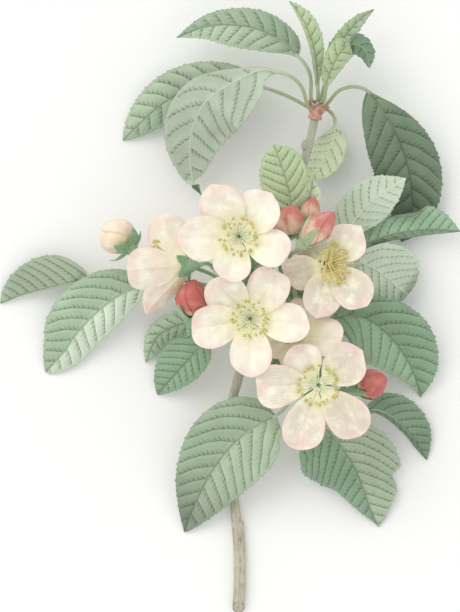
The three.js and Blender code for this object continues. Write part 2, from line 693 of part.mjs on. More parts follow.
    rib: [[20, -12.6, 24], [19, -20, 25.5], [22.5, -29, 24.5]],
    halves: [8, 7.5], fold: [8, 8], bend: [-14, -14], base: [0.6, 0.6], point: [0.8, 0.8],
  },
];

const YOUNG_LEAVES = [
  "leaf_crown_left",
  "leaf_crown_right",
  "leaf_crown_front",
  "leaf_upper_light",
  "leaf_upper_small",
];

function leaf(spec) {
  const stalk = spec.stalk.map(vec);
  const blade = new Blade({
    ...spec,
    stalk: [seatOn(spec.wood, stalk[0]), ...stalk],
    rib: spec.rib.map(vec),
  });
  const material = YOUNG_LEAVES.includes(spec.name) ? MATERIALS.youngLeaf : MATERIALS.leaf;
  return piece(spec.name, layOnSurface(blade.geometry()), material);
}

// ---- Blooms and buds ----------------------------------------------------------------------------

// A bloom or bud is made standing on the origin with its face along +Z, then set on its stalk.
function placement({ at, face, turn = 0 }) {
  const spin = new THREE.Quaternion().setFromAxisAngle(UP, radians(turn));
  const tilt = new THREE.Quaternion().setFromUnitVectors(UP, vec(face).normalize());
  return new THREE.Matrix4().compose(vec(at), tilt.multiply(spin), new THREE.Vector3(1, 1, 1));
}

const polar = (angle, radius, height) =>
  new THREE.Vector3(Math.cos(angle) * radius, Math.sin(angle) * radius, height);

// The line of a petal or sepal that leaves a ring at the angle `azimuth`: it rises at `rise[0]`
// degrees above the flower's plane and ends at `rise[1]`.
function arch(azimuth, from, height, length, rise, parts = 4) {
  const points = [polar(azimuth, from, height)];
  let [r, z] = [from, height];
  for (let i = 0; i < parts; i++) {
    const angle = radians(lerp(rise[0], rise[1], (i + 0.5) / parts));
    r += (Math.cos(angle) * length) / parts;
    z += (Math.sin(angle) * length) / parts;
    points.push(polar(azimuth, r, z));
  }
  return points;
}

const CUP = [[-1, PEDICEL_RADIUS / CUP_RADIUS], [-0.65, 0.66], [-0.15, 1], [0, 1]]; // height and radius

// The stalk, the green cup and the five sepals under a bloom or bud.
function greenCup(flower, sepal) {
  const matrix = placement(flower);
  const base = new THREE.Vector3(0, 0, -CUP_LENGTH).applyMatrix4(matrix);
  const below = new THREE.Vector3(0, 0, -CUP_LENGTH - 4).applyMatrix4(matrix);
  const stalk = flower.stalk.map(vec);
  const route = new Route([seatOn(flower.wood, stalk[0]), ...stalk, below, base]);
  const across = Math.abs(route.tangent(0.5).z) > 0.8 ? new THREE.Vector3(1, 0, 0) : UP;
  const rings = CUP.map(([height, radius]) =>
    steps(5)
      .slice(1)
      .map((s) => polar(s * 2 * Math.PI, radius * CUP_RADIUS, height * CUP_LENGTH)),
  );
  const cup = loft(rings).applyMatrix4(matrix);
  const sepals = steps(5).slice(1).map((s, n) => {
    const azimuth = (s + 0.1) * 2 * Math.PI; // the middle of a side of the five-sided cup
    const line = arch(azimuth, CUP_RADIUS - 0.9, -0.85, sepal.length, sepal.rise, 3);
    return new Blade({
      rib: line,
      halves: [1.7, 1.7],
      fold: [10, 10],
      bend: [12, 12],
      base: [0.3, 0.3],
      point: [0.85, 0.85],
      stalkRadius: 0.45,
      ribDepth: 0,
      rows: 2,
      teeth: 0,
      columns: [],
      roll: n % 2 ? 8 : -8,
    })
      .geometry()
      .applyMatrix4(matrix);
  });
  const stem = tube(route, () => PEDICEL_RADIUS, { sides: 5, count: flower.stalkSteps ?? 5, up: across });
  return piece(`${flower.name}_cup`, fuse([stem, cup, ...sepals]), MATERIALS.calyx);
}

const RING = { inner: 1.5, outer: 2.6, low: 0.3, high: 1.2 }; // the petals' common foot
const DISC_RADIUS = RING.inner - SEAT_GAP;

// The five petals, joined where their claws meet round the flower's eye.
function petals(flower) {
  const { inner, outer, low, high } = RING;
  const ring = collar([[inner, low], [outer, low], [outer, high], [inner, high], [inner, low]], 7);
  const plates = flower.petals.map((petal) => {
    const { azimuth, length, half, rise = [24, 4], fold = [12, 12], bend = [14, 14], roll = 0 } = petal;
    return new Blade({
      rib: arch(radians(azimuth), RING.outer - 0.7, 0.75, length - RING.outer + 0.7, rise),
      halves: [half, half],
      fold,
      bend,
      roll,
      base: [1.1, 1.1],
      point: [0.4, 0.4],
      stalkRadius: 0.38,
      ribDepth: 0,
      thick: PETAL_THICK,
      rows: [0.34, 0.7],
      edge: [0.26, 0.52, 0.74, 0.9, 0.98],
      teeth: 0,
      columns: [0.55],
      wave: 0.3,
      waves: 1.5,
    }).geometry();
  });
  const geometry = fuse([ring, ...plates]).applyMatrix4(placement(flower));
  return piece(`${flower.name}_petals`, geometry, MATERIALS.petal);
}

// One stamen: a slender thread that swells into its anther.
function stamen(azimuth, rise, length) {
  const lean = Math.cos(radians(rise));
  const lift = Math.sin(radians(rise));
  const start = polar(azimuth, DISC_RADIUS - 0.45, 1.0);
  const out = polar(azimuth, 1, 0);
  const at = (s) =>
    start
      .clone()
      .addScaledVector(out, lean * length * s)
      .addScaledVector(UP, lift * length * s + 0.8 * s * (1 - s));
  const sizes = [[0, 0.28], [0.86, 0.34], [1, 0.6]];
  const direction = out.clone().multiplyScalar(lean).addScaledVector(UP, lift);
  const { normal, side } = frameAcross(direction, UP);
  return loft(
    sizes.map(([s, radius]) =>
      [0, 1, 2].map((i) => {
        const angle = (i / 3) * 2 * Math.PI;
        return at(s)
          .addScaledVector(side, radius * Math.cos(angle))
          .addScaledVector(normal, radius * Math.sin(angle));
      }),
    ),
  );
}

function stamens(flower) {
  const { rise = [34, 62], length = [6.2, 8] } = flower.threads ?? {};
  const disc = new THREE.CylinderGeometry(DISC_RADIUS, DISC_RADIUS, 1.1, 8);
  disc.rotateX(Math.PI / 2).translate(0, 0, RING.low + 0.55);
  const pistil = new THREE.CylinderGeometry(0.75, 0.5, 5, 6).rotateX(Math.PI / 2).translate(0, 0, 3.4);
  const threads = Array.from({ length: STAMENS }, (_, i) => {
    const inner = i % 3 === 0;
    const height = lerp(rise[0], rise[1], inner ? 1 : (i % 2) * 0.4);
    return stamen(i * GOLDEN_ANGLE, height, lerp(length[1], length[0], inner ? 1 : 0.2));
  });
  return piece(
    `${flower.name}_stamens`,
    fuse([disc, pistil, ...threads]).applyMatrix4(placement(flower)),
    MATERIALS.stamen,
  );
}

// Each row of a bloom's petals: its angle round the eye, its length, half its width and what else it has.
const petalList = (...rows) =>
  rows.map(([azimuth, length, half, more]) => ({ azimuth, length, half, ...more }));

const BLOOMS = [
  {
    name: "bloom_upper", wood: "leftSpur",
    stalk: [[6, 6, 30], [3.6, 17, 34]], at: [3.4, 28, 46.5], face: [0.02, -0.05, 1],
    petals: petalList([119, 23.4, 8.6], [53, 21.4, 8.8], [182, 24.2, 9], [255, 18.2, 7.8], [340, 21.4, 7.8]),
  },
  {
    name: "bloom_middle", wood: "leftSpur",
    stalk: [[8, -1.5, 31]], at: [7.8, -4.2, 40.5], face: [0.02, -0.03, 1],
    petals: petalList([134, 22, 8.4], [59, 23, 8.6], [-7, 23.8, 8], [270, 23.2, 8.6], [191, 24.6, 8.8]),
    stalkSteps: 4,
  },
  {
    name: "bloom_lower", wood: "rightSpur",
    stalk: [[28.4, -9, 27.4], [33, -20, 27]], at: [34.6, -30.2, 36], face: [0.02, -0.06, 1],
    petals: petalList([122, 18.4, 8], [38, 22, 9], [180, 25.8, 9], [250, 27.2, 8.6], [312, 26.4, 8.6]),
  },
  {
    name: "bloom_right", wood: "rightSpur",
    stalk: [[30.2, -3, 26.4], [34.5, 8, 27.5]], at: [38.2, 17.4, 36.5], face: [0.1, -0.06, 1],
    petals: petalList(
      [49, 18.8, 7.8],
      [-47, 22.4, 8],
      [-103, 21.6, 7.8],
      [196, 17.6, 7.2, { rise: [14, -4] }],
      [134, 14, 6, { rise: [-14, -34] }],
    ),
    threads: { rise: [46, 74], length: [6, 8] },
  },
  {
    name: "bloom_back", wood: "rightSpur",
    stalk: [[27, -10.2, 21]], at: [26, -10.6, 31], face: [-0.25, 0.1, 0.95],
    petals: petalList(
      [-8, 19.4, 8, { rise: [6, -8] }],
      [62, 15, 7],
      [134, 13.4, 6.6],
      [206, 13.4, 6.6],
      [278, 15, 7],
    ),
    threads: { rise: [50, 76], length: [4.4, 5.4] },
    stalkSteps: 4,
  },
  {
    name: "bloom_left", wood: "leftSpur",
    stalk: [[3, 5, 27.6], [-4, 13, 31]], at: [-16.2, 16.4, 35], face: [-0.84, -0.08, -0.5], turn: 180,
    petals: petalList(
      [187, 25.8, 8.6, { rise: [50, 34] }],
      [280, 24.6, 8.8, { rise: [36, 24], roll: -46 }],
      [120, 24.2, 7.6, { rise: [52, 38], roll: 12 }],
      [50, 19, 7.4, { rise: [64, 54] }],
      [337, 17, 7.2, { rise: [70, 60] }],
    ),
    threads: { rise: [72, 84], length: [10, 13.6] },
  },
];

// A closed bud: five petals wound over each other, each edge a small step.
function budPetals(bud) {
  const { radius, length } = bud;
  const around = 10;
  const heights = [0, 0.14, 0.34, 0.56, 0.76, 0.92, 1];
  const rings = heights.map((h) => {
    const ends = { 0: 1.3, 1: 0.5 }; // the bud's blunt foot and tip
    const girth = ends[h] ?? radius * Math.sin(Math.PI * h ** 0.82) ** 0.72;
    return Array.from({ length: around }, (_, i) => {
      const share = i / around;
      const step = ((5 * share + 1.1 * h) % 1) * 0.1 - 0.05;
      return polar(share * 2 * Math.PI, girth * (1 + step), SEAT_GAP + h * length);
    });
  });
  const material = bud.pale ? MATERIALS.paleBud : MATERIALS.bud;
  return piece(`${bud.name}_petals`, loft(rings).applyMatrix4(placement(bud)), material);
}

const BUDS = [
  {
    name: "bud_left", wood: "leftSpur",
    stalk: [[4, 4.6, 22.5], [-8, 13.5, 15.6], [-24, 18, 16]],
    at: [-39.8, 23.8, 27], face: [-0.7, 0.62, -0.28],
    radius: 7.4, length: 14.2, pale: true, sepal: { length: 8.4, rise: [-10, 52] },
  },
  {
    name: "bud_red_left", wood: "leftSpur",
    stalk: [[4.6, -1, 28], [-6, -7, 27], [-15, -8.5, 27]],
    at: [-15.4, -3.4, 29.6], face: [0.08, 0.9, 0.32],
    radius: 6.4, length: 15, sepal: { length: 9.5, rise: [30, 72] },
  },
  {
    name: "bud_upper_left", wood: "rightSpur",
    stalk: [[23.8, -1.6, 27], [22, 7, 29], [20.2, 14, 30]],
    at: [21.4, 28.3, 34], face: [0.3, 0.86, 0.34],
    radius: 6, length: 13, sepal: { length: 6, rise: [10, 60] },
  },
  {
    name: "bud_upper_right", wood: "rightSpur",
    stalk: [[26.4, -2.4, 29.4], [25.4, 8, 31.4]], at: [29.2, 25.4, 41.2], face: [0.6, 0.6, 0.46],
    radius: 6.3, length: 18.4, sepal: { length: 10, rise: [40, 74] },
  },
  {
    name: "bud_upper_small", wood: "shoot",
    stalk: [[20.6, 28, 20], [25.6, 30, 24]], at: [30.4, 34, 27], face: [0.3, 0.9, 0.3],
    radius: 3.8, length: 10, sepal: { length: 4.4, rise: [25, 60] },
  },
  {
    name: "bud_red_right", wood: "rightSpur",
    stalk: [[31, -7.4, 25.4], [40, -20, 25], [46, -29, 23.8]],
    at: [50.4, -32, 25.5], face: [0.9, 0.3, 0.3],
    radius: 5.8, length: 12.6, sepal: { length: 7.6, rise: [35, 66] },
  },
];

// ---- The branch ---------------------------------------------------------------------------------

const branch = new THREE.Group();
branch.name = "apple_blossom_branch";
branch.add(woodPiece(), budScales(), ...LEAVES.map(leaf));
for (const bloom of BLOOMS) {
  branch.add(greenCup(bloom, { length: 6.5, rise: [-4, -48] }), petals(bloom), stamens(bloom));
}
for (const bud of BUDS) branch.add(greenCup(bud, bud.sepal), budPetals(bud));

export default branch;
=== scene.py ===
"""Dresses a cut apple blossom branch that lies on a pale surface.

Each leaf, bloom and bud follows the measures of its solid, with finer teeth, veins, ruffles and
hairs. Lengths are in millimetres until a mesh is handed to Blender, and angles are in degrees.
"""

import logging
import math
from collections.abc import Callable, Sequence
from dataclasses import KW_ONLY, dataclass, field, replace
from enum import Enum
from functools import cached_property

import bpy
import numpy as np
from bpy.types import Material, Mesh, Node, NodeSocket, NodeTree, Object
from mathutils import Matrix, Vector


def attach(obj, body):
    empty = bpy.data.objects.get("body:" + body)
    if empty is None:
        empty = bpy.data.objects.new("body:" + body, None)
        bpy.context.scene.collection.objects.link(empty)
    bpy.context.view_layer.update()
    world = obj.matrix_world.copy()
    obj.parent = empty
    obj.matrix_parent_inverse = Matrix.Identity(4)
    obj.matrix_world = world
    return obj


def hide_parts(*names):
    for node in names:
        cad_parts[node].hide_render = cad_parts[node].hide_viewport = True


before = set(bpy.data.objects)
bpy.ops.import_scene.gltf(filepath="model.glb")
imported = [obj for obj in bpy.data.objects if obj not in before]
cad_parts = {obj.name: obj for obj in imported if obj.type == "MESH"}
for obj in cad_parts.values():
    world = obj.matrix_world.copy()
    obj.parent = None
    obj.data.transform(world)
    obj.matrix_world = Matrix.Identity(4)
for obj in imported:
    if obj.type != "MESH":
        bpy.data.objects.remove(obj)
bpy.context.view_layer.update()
LOG = logging.getLogger("blossom")

MM = 0.001
UP = (0.0, 0.0, 1.0)
GOLDEN_ANGLE = 180 * (3 - math.sqrt(5))

SEAT_GAP = 0.3  # between a piece and what carries it
BLADE_THICK = 0.4
PETAL_THICK = 0.34
STALK_RADIUS = 0.75
PEDICEL_RADIUS = 0.8
CUP_RADIUS = 2.8
CUP_LENGTH = 5.0
EYE = {"inner": 1.5, "outer": 2.6, "low": 0.3, "high": 1.2}  # the petals' common foot
DISC_RADIUS = EYE["inner"] - SEAT_GAP
BALL_ROWS = 14
BALL_POLE = 0.06  # the lean of a ball's first ring, in radians

Array = np.ndarray
Point = tuple[float, float, float]
Colour = tuple[int, int, int]  # as a screen shows it, from 0 to 255
Face = tuple[int, ...]
Stops = float | Sequence[tuple[float, float]]
Pair = tuple[Stops, Stops]
Rise = tuple[float, float]
Finishes = dict[str, Material]


def linear(red: int, green: int, blue: int) -> tuple[float, ...]:
    """The light that a screen colour stands for."""
    return (*((value / 255) ** 2.2 for value in (red, green, blue)), 1.0)


class Tone(Enum):
    """The greens of the leaves, as screen colours."""

    DEEP = (118, 138, 113)
    GREEN = (137, 164, 134)
    JADE = (152, 181, 150)
    MID = (154, 174, 147)
    SAGE = (170, 187, 160)
    PALE = (191, 205, 183)
    FRESH = (176, 193, 152)
    # paler than these leaves are: painted light, for leaves that lie in the shade of others
    LIME = (214, 226, 190)
    STALK = (160, 176, 136)

    @property
    def light(self) -> Array:
        """The tone as light, for mixing."""
        return np.array(linear(*self.value))


class Limb(Enum):
    """The lengths of wood that stalks grow from."""

    OLD = "old"
    SHOOT = "shoot"
    LEFT_SPUR = "left_spur"
    RIGHT_SPUR = "right_spur"


# ---- Lines and bodies ----


def unit(rows: Array) -> Array:
    """Rows of numbers scaled to length 1."""
    return rows / np.linalg.norm(rows, axis=-1, keepdims=True)


def smooth(value: Array, low: float, high: float) -> Array:
    """An eased step: 0 below `low`, 1 above `high`."""
    share = np.clip((value - low) / (high - low), 0, 1)
    return share * share * (3 - 2 * share)


def along(stops: Stops, t: Array) -> Array:
    """Reads a value that changes along a length.

    Args:
        stops: One number, or (place, value) pairs with an eased change between them.
        t: The places to read.

    Returns:
        The value at each place.
    """
    if isinstance(stops, (int, float)):
        return np.full_like(t, float(stops))
    result = np.full_like(t, float(stops[0][1]))
    for (t0, v0), (t1, v1) in zip(stops, stops[1:]):
        result = np.where(t > t0, v0 + (v1 - v0) * smooth(t, t0, t1), result)
    return result


def turned(vectors: Array, axes: Array, degrees: Array) -> Array:
    """Vectors that stand square to their axes, turned about them."""
    angle = np.radians(degrees)[:, None]
    return vectors * np.cos(angle) + np.cross(axes, vectors) * np.sin(angle)


class Route:
    """A smooth line through points, read by its length: 0 at its start, 1 at its end."""

    STEPS_A_POINT = 40

    def __init__(self, points: Sequence[Point]) -> None:
        """Measures the line through the points.

        Args:
            points: What it runs through, in order.
        """
        inner = np.asarray(points, float)
        self.count = len(inner)
        self.points = np.vstack([2 * inner[0] - inner[1], inner, 2 * inner[-1] - inner[-2]])
        self.times = np.linspace(0, 1, self.STEPS_A_POINT * self.count + 1)
        places = self._at_times(self.times)[0]
        pieces = np.linalg.norm(np.diff(places, axis=0), axis=1)
        self.lengths = np.concatenate([[0], np.cumsum(pieces)])

    @property
    def length(self) -> float:
        """The whole length."""
        return float(self.lengths[-1])

    def _at_times(self, times: Array) -> tuple[Array, Array]:
        """The places and directions at times from 0 to 1.

        Args:
            times: Where to look.

        Returns:
            Both, a row for each time.
        """
        place = np.clip(times, 0, 1) * (self.count - 1)
        first = np.minimum(place.astype(int), self.count - 2)
        w = (place - first)[:, None]
        p0, p1, p2, p3 = (self.points[first + i] for i in range(4))
        out, into = (p2 - p0) / 2, (p3 - p1) / 2
        cubic = 2 * p1 - 2 * p2 + out + into
        square = -3 * p1 + 3 * p2 - 2 * out - into
        return p1 + w * (out + w * (square + w * cubic)), out + w * (2 * square + 3 * w * cubic)

    def at(self, shares: Array) -> tuple[Array, Array]:
        """The places and unit tangents at shares of the length.

        Args:
            shares: Where to look.

        Returns:
            Both, a row for each share.
        """
        wanted = np.clip(shares, 0, 1) * self.length
        places, directions = self._at_times(np.interp(wanted, self.lengths, self.times))
        return places, unit(directions)

    def share_at(self, index: int) -> float:
        """The share of the length at which the line passes its point number `index`."""
        sample = round(index / (self.count - 1) * (len(self.lengths) - 1))
        return float(self.lengths[sample]) / self.length

    def frames(
        self, shares: Array, up: Point = UP, roll: Array | None = None
    ) -> tuple[Array, ...]:
        """Frames across the line.

        Args:
            shares: Where along the length.
            up: The direction that the upper side looks in.
            roll: How far each frame turns about the line.

        Returns:
            The places, the tangents, the upper directions and the sideways directions.
        """
        places, tangents = self.at(shares)
        above = np.asarray(up, float)
        normals = unit(above - tangents * (tangents @ above)[:, None])
        if roll is not None:
            normals = turned(normals, tangents, roll)
        return places, tangents, normals, np.cross(tangents, normals)


@dataclass
class Skin:
    """A closed surface with values on its corners.

    Attributes:
        points: The corners, in millimetres.
        faces: The corners of each face, facing out.
        values: What each corner carries for the finish, by name.
        finish: Which of the piece's finishes it takes.
    """

    points: Array
    faces: list[Face]
    values: dict[str, Array] = field(default_factory=dict)
    finish: int = 0

    def outward(self) -> "Skin":
        """The same surface with its faces turned out.

        Returns:
            The surface itself.
        """
        volume = 0.0
        fans: dict[int, list[Face]] = {}
        for face in self.faces:
            fans.setdefault(len(face), []).append(face)
        for size, rows in fans.items():
            corners = self.points[np.array(rows)]
            for i in range(1, size - 1):
                cross = np.cross(corners[:, i], corners[:, i + 1])
                volume += float(np.einsum("ij,ij->", corners[:, 0], cross))
        if volume < 0:
            self.faces = [face[::-1] for face in self.faces]
        return self

    def moved(self, matrix: Matrix) -> "Skin":
        """The same surface set in its place.

        Args:
            matrix: Where it goes.

        Returns:
            The surface itself.
        """
        turn = np.array(matrix)
        self.points = self.points @ turn[:3, :3].T + turn[:3, 3]
        return self

    def laid(self) -> "Skin":
        """The same surface, pressed flat where it would sink into what it lies on."""
        self.points[:, 2] = np.maximum(self.points[:, 2], 0)
        return self


def grid_faces(rows: int, columns: int, wrap: bool = False, close: bool = False) -> list[Face]:
    """The four-cornered faces between rows of corners.

    Args:
        rows: How many rows of corners there are.
        columns: How many corners a row has.
        wrap: Whether each row closes on itself.
        close: Whether the last row joins the first.

    Returns:
        The faces.
    """
    index = np.arange(rows * columns).reshape(rows, columns)
    if wrap:
        index = np.hstack([index, index[:, :1]])
    if close:
        index = np.vstack([index, index[:1]])
    sides = (index[:-1, :-1], index[:-1, 1:], index[1:, 1:], index[1:, :-1])
    return list(map(tuple, np.stack(sides, axis=-1).reshape(-1, 4).tolist()))


def corners(sides: int) -> Array:
    """The angles of the corners of a ring."""
    return 2 * np.pi * np.arange(sides) / sides


def about_z(angle: Array, radii: Array, heights: Array) -> Array:
    """Corners at their angles, radii and heights about the Z axis."""
    sides = (radii * np.cos(angle), radii * np.sin(angle), heights)
    return np.stack(np.broadcast_arrays(*sides), axis=-1)


def ringed(rings: Array, values: dict[str, Array], finish: int = 0) -> Skin:
    """A closed body through rings of equal count, with a face over each end.

    Args:
        rings: The corners of each ring.
        values: What the corners carry.
        finish: Which of the piece's finishes it takes.

    Returns:
        The body.
    """
    rows, columns = rings.shape[:2]
    faces = grid_faces(rows, columns, wrap=True)
    last = (rows - 1) * columns
    faces.append(tuple(reversed(range(columns))))
    faces.append(tuple(range(last, last + columns)))
    flat = {name: value.reshape(rows * columns, -1) for name, value in values.items()}
    return Skin(rings.reshape(-1, 3), faces, flat, finish).outward()


def tube(
    route: Route,
    shares: Array,
    radius: Array,
    sides: int,
    up: Point = UP,
    drop: Array | None = None,
    roll: Array | None = None,
    finish: int = 0,
) -> Skin:
    """A round body of changing radius along a route.

    Args:
        route: The line that it follows.
        shares: Where along the length its rings stand.
        radius: The radius of each.
        sides: Corners in each ring.
        up: The direction that the first corner looks in.
        drop: How far each ring lies below the line.
        roll: How far each ring turns about the line.
        finish: Which of the piece's finishes it takes.

    Returns:
        The body. It carries `run`: the length so far, the place round it and its radius.
    """
    places, _, normals, across = route.frames(shares, up, roll)
    if drop is not None:
        places = places - normals * drop[:, None]
    angle = corners(sides)
    sizes = radius[:, None, None]
    out = across[:, None] * np.sin(angle)[:, None] + normals[:, None] * np.cos(angle)[:, None]
    run = np.empty((len(shares), sides, 3))
    run[..., 0] = (shares * route.length)[:, None]
    run[..., 1] = (angle / (2 * np.pi))[None]
    run[..., 2] = sizes[..., 0]
    return ringed(places[:, None] + out * sizes, {"run": run}, finish)


def ball(centre: Point, sizes: Point, around: int) -> Skin:
    """An egg-shaped body, closed at its poles.

    Args:
        centre: Its middle.
        sizes: Its radius along each axis.
        around: Corners in each ring.

    Returns:
        The body.
    """
    turn = corners(around)
    lean = np.linspace(BALL_POLE, np.pi - BALL_POLE, BALL_ROWS)[:, None]
    rings = about_z(turn, np.sin(lean), np.cos(lean))
    run = np.zeros_like(rings)
    run[..., 0] = lean * 2
    run[..., 1] = turn / (2 * np.pi)
    run[..., 2] = sizes[0]
    return ringed(rings * np.asarray(sizes) + np.asarray(centre), {"run": run})


# ---- Pieces ----

ATTRIBUTE_KINDS = {1: "FLOAT", 3: "FLOAT_VECTOR", 4: "FLOAT_COLOR"}
ATTRIBUTE_SLOTS = {"FLOAT": "value", "FLOAT_VECTOR": "vector", "FLOAT_COLOR": "color"}


def mesh_of(name: str, skins: Sequence[Skin], finishes: Sequence[Material]) -> Mesh:
    """One mesh, in metres, from the skins of a piece.

    Args:
        name: Its name.
        skins: Its surfaces.
        finishes: What the skins' finish numbers stand for.

    Returns:
        The mesh.
    """
    mesh = bpy.data.meshes.new(name)
    faces: list[Face] = []
    finish: list[int] = []
    start = 0
    for skin in skins:
        faces += [tuple(corner + start for corner in face) for face in skin.faces]
        finish += [skin.finish] * len(skin.faces)
        start += len(skin.points)
    points = np.vstack([skin.points for skin in skins]) * MM
    mesh.from_pydata(points.tolist(), [], faces)
    widths = {key: value.shape[1] for skin in skins for key, value in skin.values.items()}
    for key, width in widths.items():
        kind = ATTRIBUTE_KINDS[width]
        blank = [skin.values.get(key, np.zeros((len(skin.points), width))) for skin in skins]
        layer = mesh.attributes.new(key, kind, "POINT")
        layer.data.foreach_set(ATTRIBUTE_SLOTS[kind], np.vstack(blank).astype(np.float32).ravel())
    for material in finishes:
        mesh.materials.append(material)
    mesh.polygons.foreach_set("material_index", finish)
    mesh.shade_smooth()
    mesh.update()
    return mesh


def settle(name: str, mesh: Mesh) -> Object:
    """Puts a piece in the scene in place of its solid.

    Args:
        name: The solid's name; the piece is called after it.
        mesh: The piece's mesh, in place and in metres.

    Returns:
        The piece.
    """
    piece = bpy.data.objects.new(f"{name}_fine", mesh)
    bpy.context.scene.collection.objects.link(piece)
    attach(piece, "root")
    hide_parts(name)
    triangles = sum(len(face.vertices) - 2 for face in mesh.polygons)
    LOG.info("%s: %d triangles", piece.name, triangles)
    return piece


# ---- Node trees ----


def operation(name: str, first: bool = True) -> Callable[..., "Value"]:
    """A method of a value that works out `name`, with the value as its first or last number.

    Args:
        name: The Math node's operation.
        first: Whether the value comes first.

    Returns:
        The method.
    """

    def method(self: "Value", *others: "Number") -> "Value":
        """Adds a Math node.

        Args:
            others: The other numbers.

        Returns:
            The result.
        """
        operands = [self, *others] if first else [*others, self]
        settings, inputs = {"operation": name}, dict(enumerate(operands))
        return self.nodes.value("ShaderNodeMath", settings, inputs)

    return method


class Value:
    """A number in a node tree; arithmetic on it adds the Math nodes."""

    def __init__(self, nodes: "Nodes", socket: NodeSocket) -> None:
        """Wraps a socket."""
        self.nodes = nodes
        self.socket = socket

    __add__ = __radd__ = operation("ADD")
    __sub__, __rsub__ = operation("SUBTRACT"), operation("SUBTRACT", first=False)
    __mul__ = __rmul__ = operation("MULTIPLY")
    __truediv__, __rtruediv__ = operation("DIVIDE"), operation("DIVIDE", first=False)
    __pow__, __rpow__ = operation("POWER"), operation("POWER", first=False)
    __abs__ = operation("ABSOLUTE")
    fract, sine, cosine = operation("FRACT"), operation("SINE"), operation("COSINE")
    most = operation("MAXIMUM")

    def step(self, low: float, high: float, bottom: float = 0.0, top: float = 1.0) -> "Value":
        """An eased step from `bottom` at `low` to `top` at `high`.

        Args:
            low: Where the step starts.
            high: Where it ends.
            bottom: The value before it.
            top: The value after it.

        Returns:
            The result.
        """
        settings = {"interpolation_type": "SMOOTHSTEP"}
        inputs = {0: self, 1: low, 2: high, 3: bottom, 4: top}
        return self.nodes.value("ShaderNodeMapRange", settings, inputs)


Number = Value | float
Source = Value | NodeSocket | Material | float | str | Sequence[float]
Settings = dict[str, object]
Inputs = dict[str | int, Source]


class Nodes:
    """A node tree that is filled one node at a time."""

    def __init__(self, tree: NodeTree) -> None:
        """Takes the tree to fill."""
        self.tree = tree

    def node(
        self, kind: str, settings: Settings | None = None, inputs: Inputs | None = None
    ) -> Node:
        """Adds a node.

        Args:
            kind: The node's type.
            settings: Its properties, which are set first.
            inputs: The values or links of its sockets, by name or number.

        Returns:
            The node.
        """
        made = self.tree.nodes.new(kind)
        for name, setting in (settings or {}).items():
            setattr(made, name, setting)
        for name, source in (inputs or {}).items():
            self._plug(made.inputs[name], source)
        return made

    def _plug(self, socket: NodeSocket, source: Source) -> None:
        """Links a socket or sets its value; a colour is given as a screen shows it.

        Args:
            socket: The input.
            source: What it gets.
        """
        if isinstance(source, Value):
            self.tree.links.new(source.socket, socket)
        elif isinstance(source, NodeSocket):
            self.tree.links.new(source, socket)
        elif socket.type == "RGBA":
            socket.default_value = linear(*source)
        else:
            socket.default_value = source

    def value(
        self, kind: str, settings: Settings | None = None, inputs: Inputs | None = None
    ) -> Value:
        """Adds a node and gives its first output as a value."""
        return Value(self, self.node(kind, settings, inputs).outputs[0])

    def vector(self, x: Source = 0.0, y: Source = 0.0, z: Source = 0.0) -> NodeSocket:
        """A vector of three numbers."""
        return self.node("ShaderNodeCombineXYZ", inputs={0: x, 1: y, 2: z}).outputs[0]


class Shader(Nodes):
    """The node tree of one finish."""

    SPECULAR = 0.3

    def __init__(self, name: str) -> None:
        """Starts an empty material.

        Args:
            name: Its name.
        """
        self.material = bpy.data.materials.new(name)
        self.material.use_nodes = True
        super().__init__(self.material.node_tree)
        self.tree.nodes.clear()
        self.place = self.node("ShaderNodeTexCoord").outputs["Object"]

    def layer(self, name: str) -> Node:
        """The node that reads what the corners carry under a name."""
        return self.node("ShaderNodeAttribute", {"attribute_name": name})

    def parts(self, name: str) -> tuple[Value, Value, Value]:
        """The three numbers that the corners carry under a name.

        Args:
            name: What they are kept under.

        Returns:
            The numbers.
        """
        split = self.node("ShaderNodeSeparateXYZ", inputs={0: self.layer(name).outputs["Vector"]})
        first, second, third = (Value(self, output) for output in split.outputs)
        return first, second, third

    def noise(self, size: float, detail: float = 2, where: Source | None = None) -> Value:
        """Noise about 0.5.

        Args:
            size: The width of a blotch, in millimetres.
            detail: How many finer layers it has.
            where: What it reads, in millimetres, if not the place in the object.

        Returns:
            The noise.
        """
        vector = self.place if where is None else where
        scale = 1 / (size * MM) if where is None else 1 / size
        inputs = {"Vector": vector, "Scale": scale, "Detail": detail}
        return self.value("ShaderNodeTexNoise", inputs=inputs)

    def mix(self, share: Source, first: Source, second: Source) -> Source:
        """Mixes two colours and gives the result's socket."""
        inputs = {0: share, 6: first, 7: second}
        return self.node("ShaderNodeMix", {"data_type": "RGBA"}, inputs).outputs[2]

    def scaled(self, colour: Source, by: Source) -> Source:
        """A colour made lighter or darker by a number."""
        inputs = {0: colour, "Scale": by}
        return self.node("ShaderNodeVectorMath", {"operation": "SCALE"}, inputs).outputs[0]

    def bump(self, height: Value, distance: float, strength: float = 1.0) -> Source:
        """A normal for relief that stands `distance` millimetres high."""
        inputs = {"Height": height, "Distance": distance * MM, "Strength": strength}
        return self.node("ShaderNodeBump", inputs=inputs).outputs[0]

    def finish(self, **sockets: Source) -> Material:
        """Ends the material in a shader.

        Args:
            sockets: The shader's sockets, with _ for a space.

        Returns:
            The material.
        """
        sockets.setdefault("Specular_IOR_Level", self.SPECULAR)
        inputs = {name.replace("_", " "): source for name, source in sockets.items()}
        shader = self.node("ShaderNodeBsdfPrincipled", inputs=inputs)
        self.node("ShaderNodeOutputMaterial", inputs={"Surface": shader.outputs[0]})
        return self.material


# ---- What grows in numbers ----


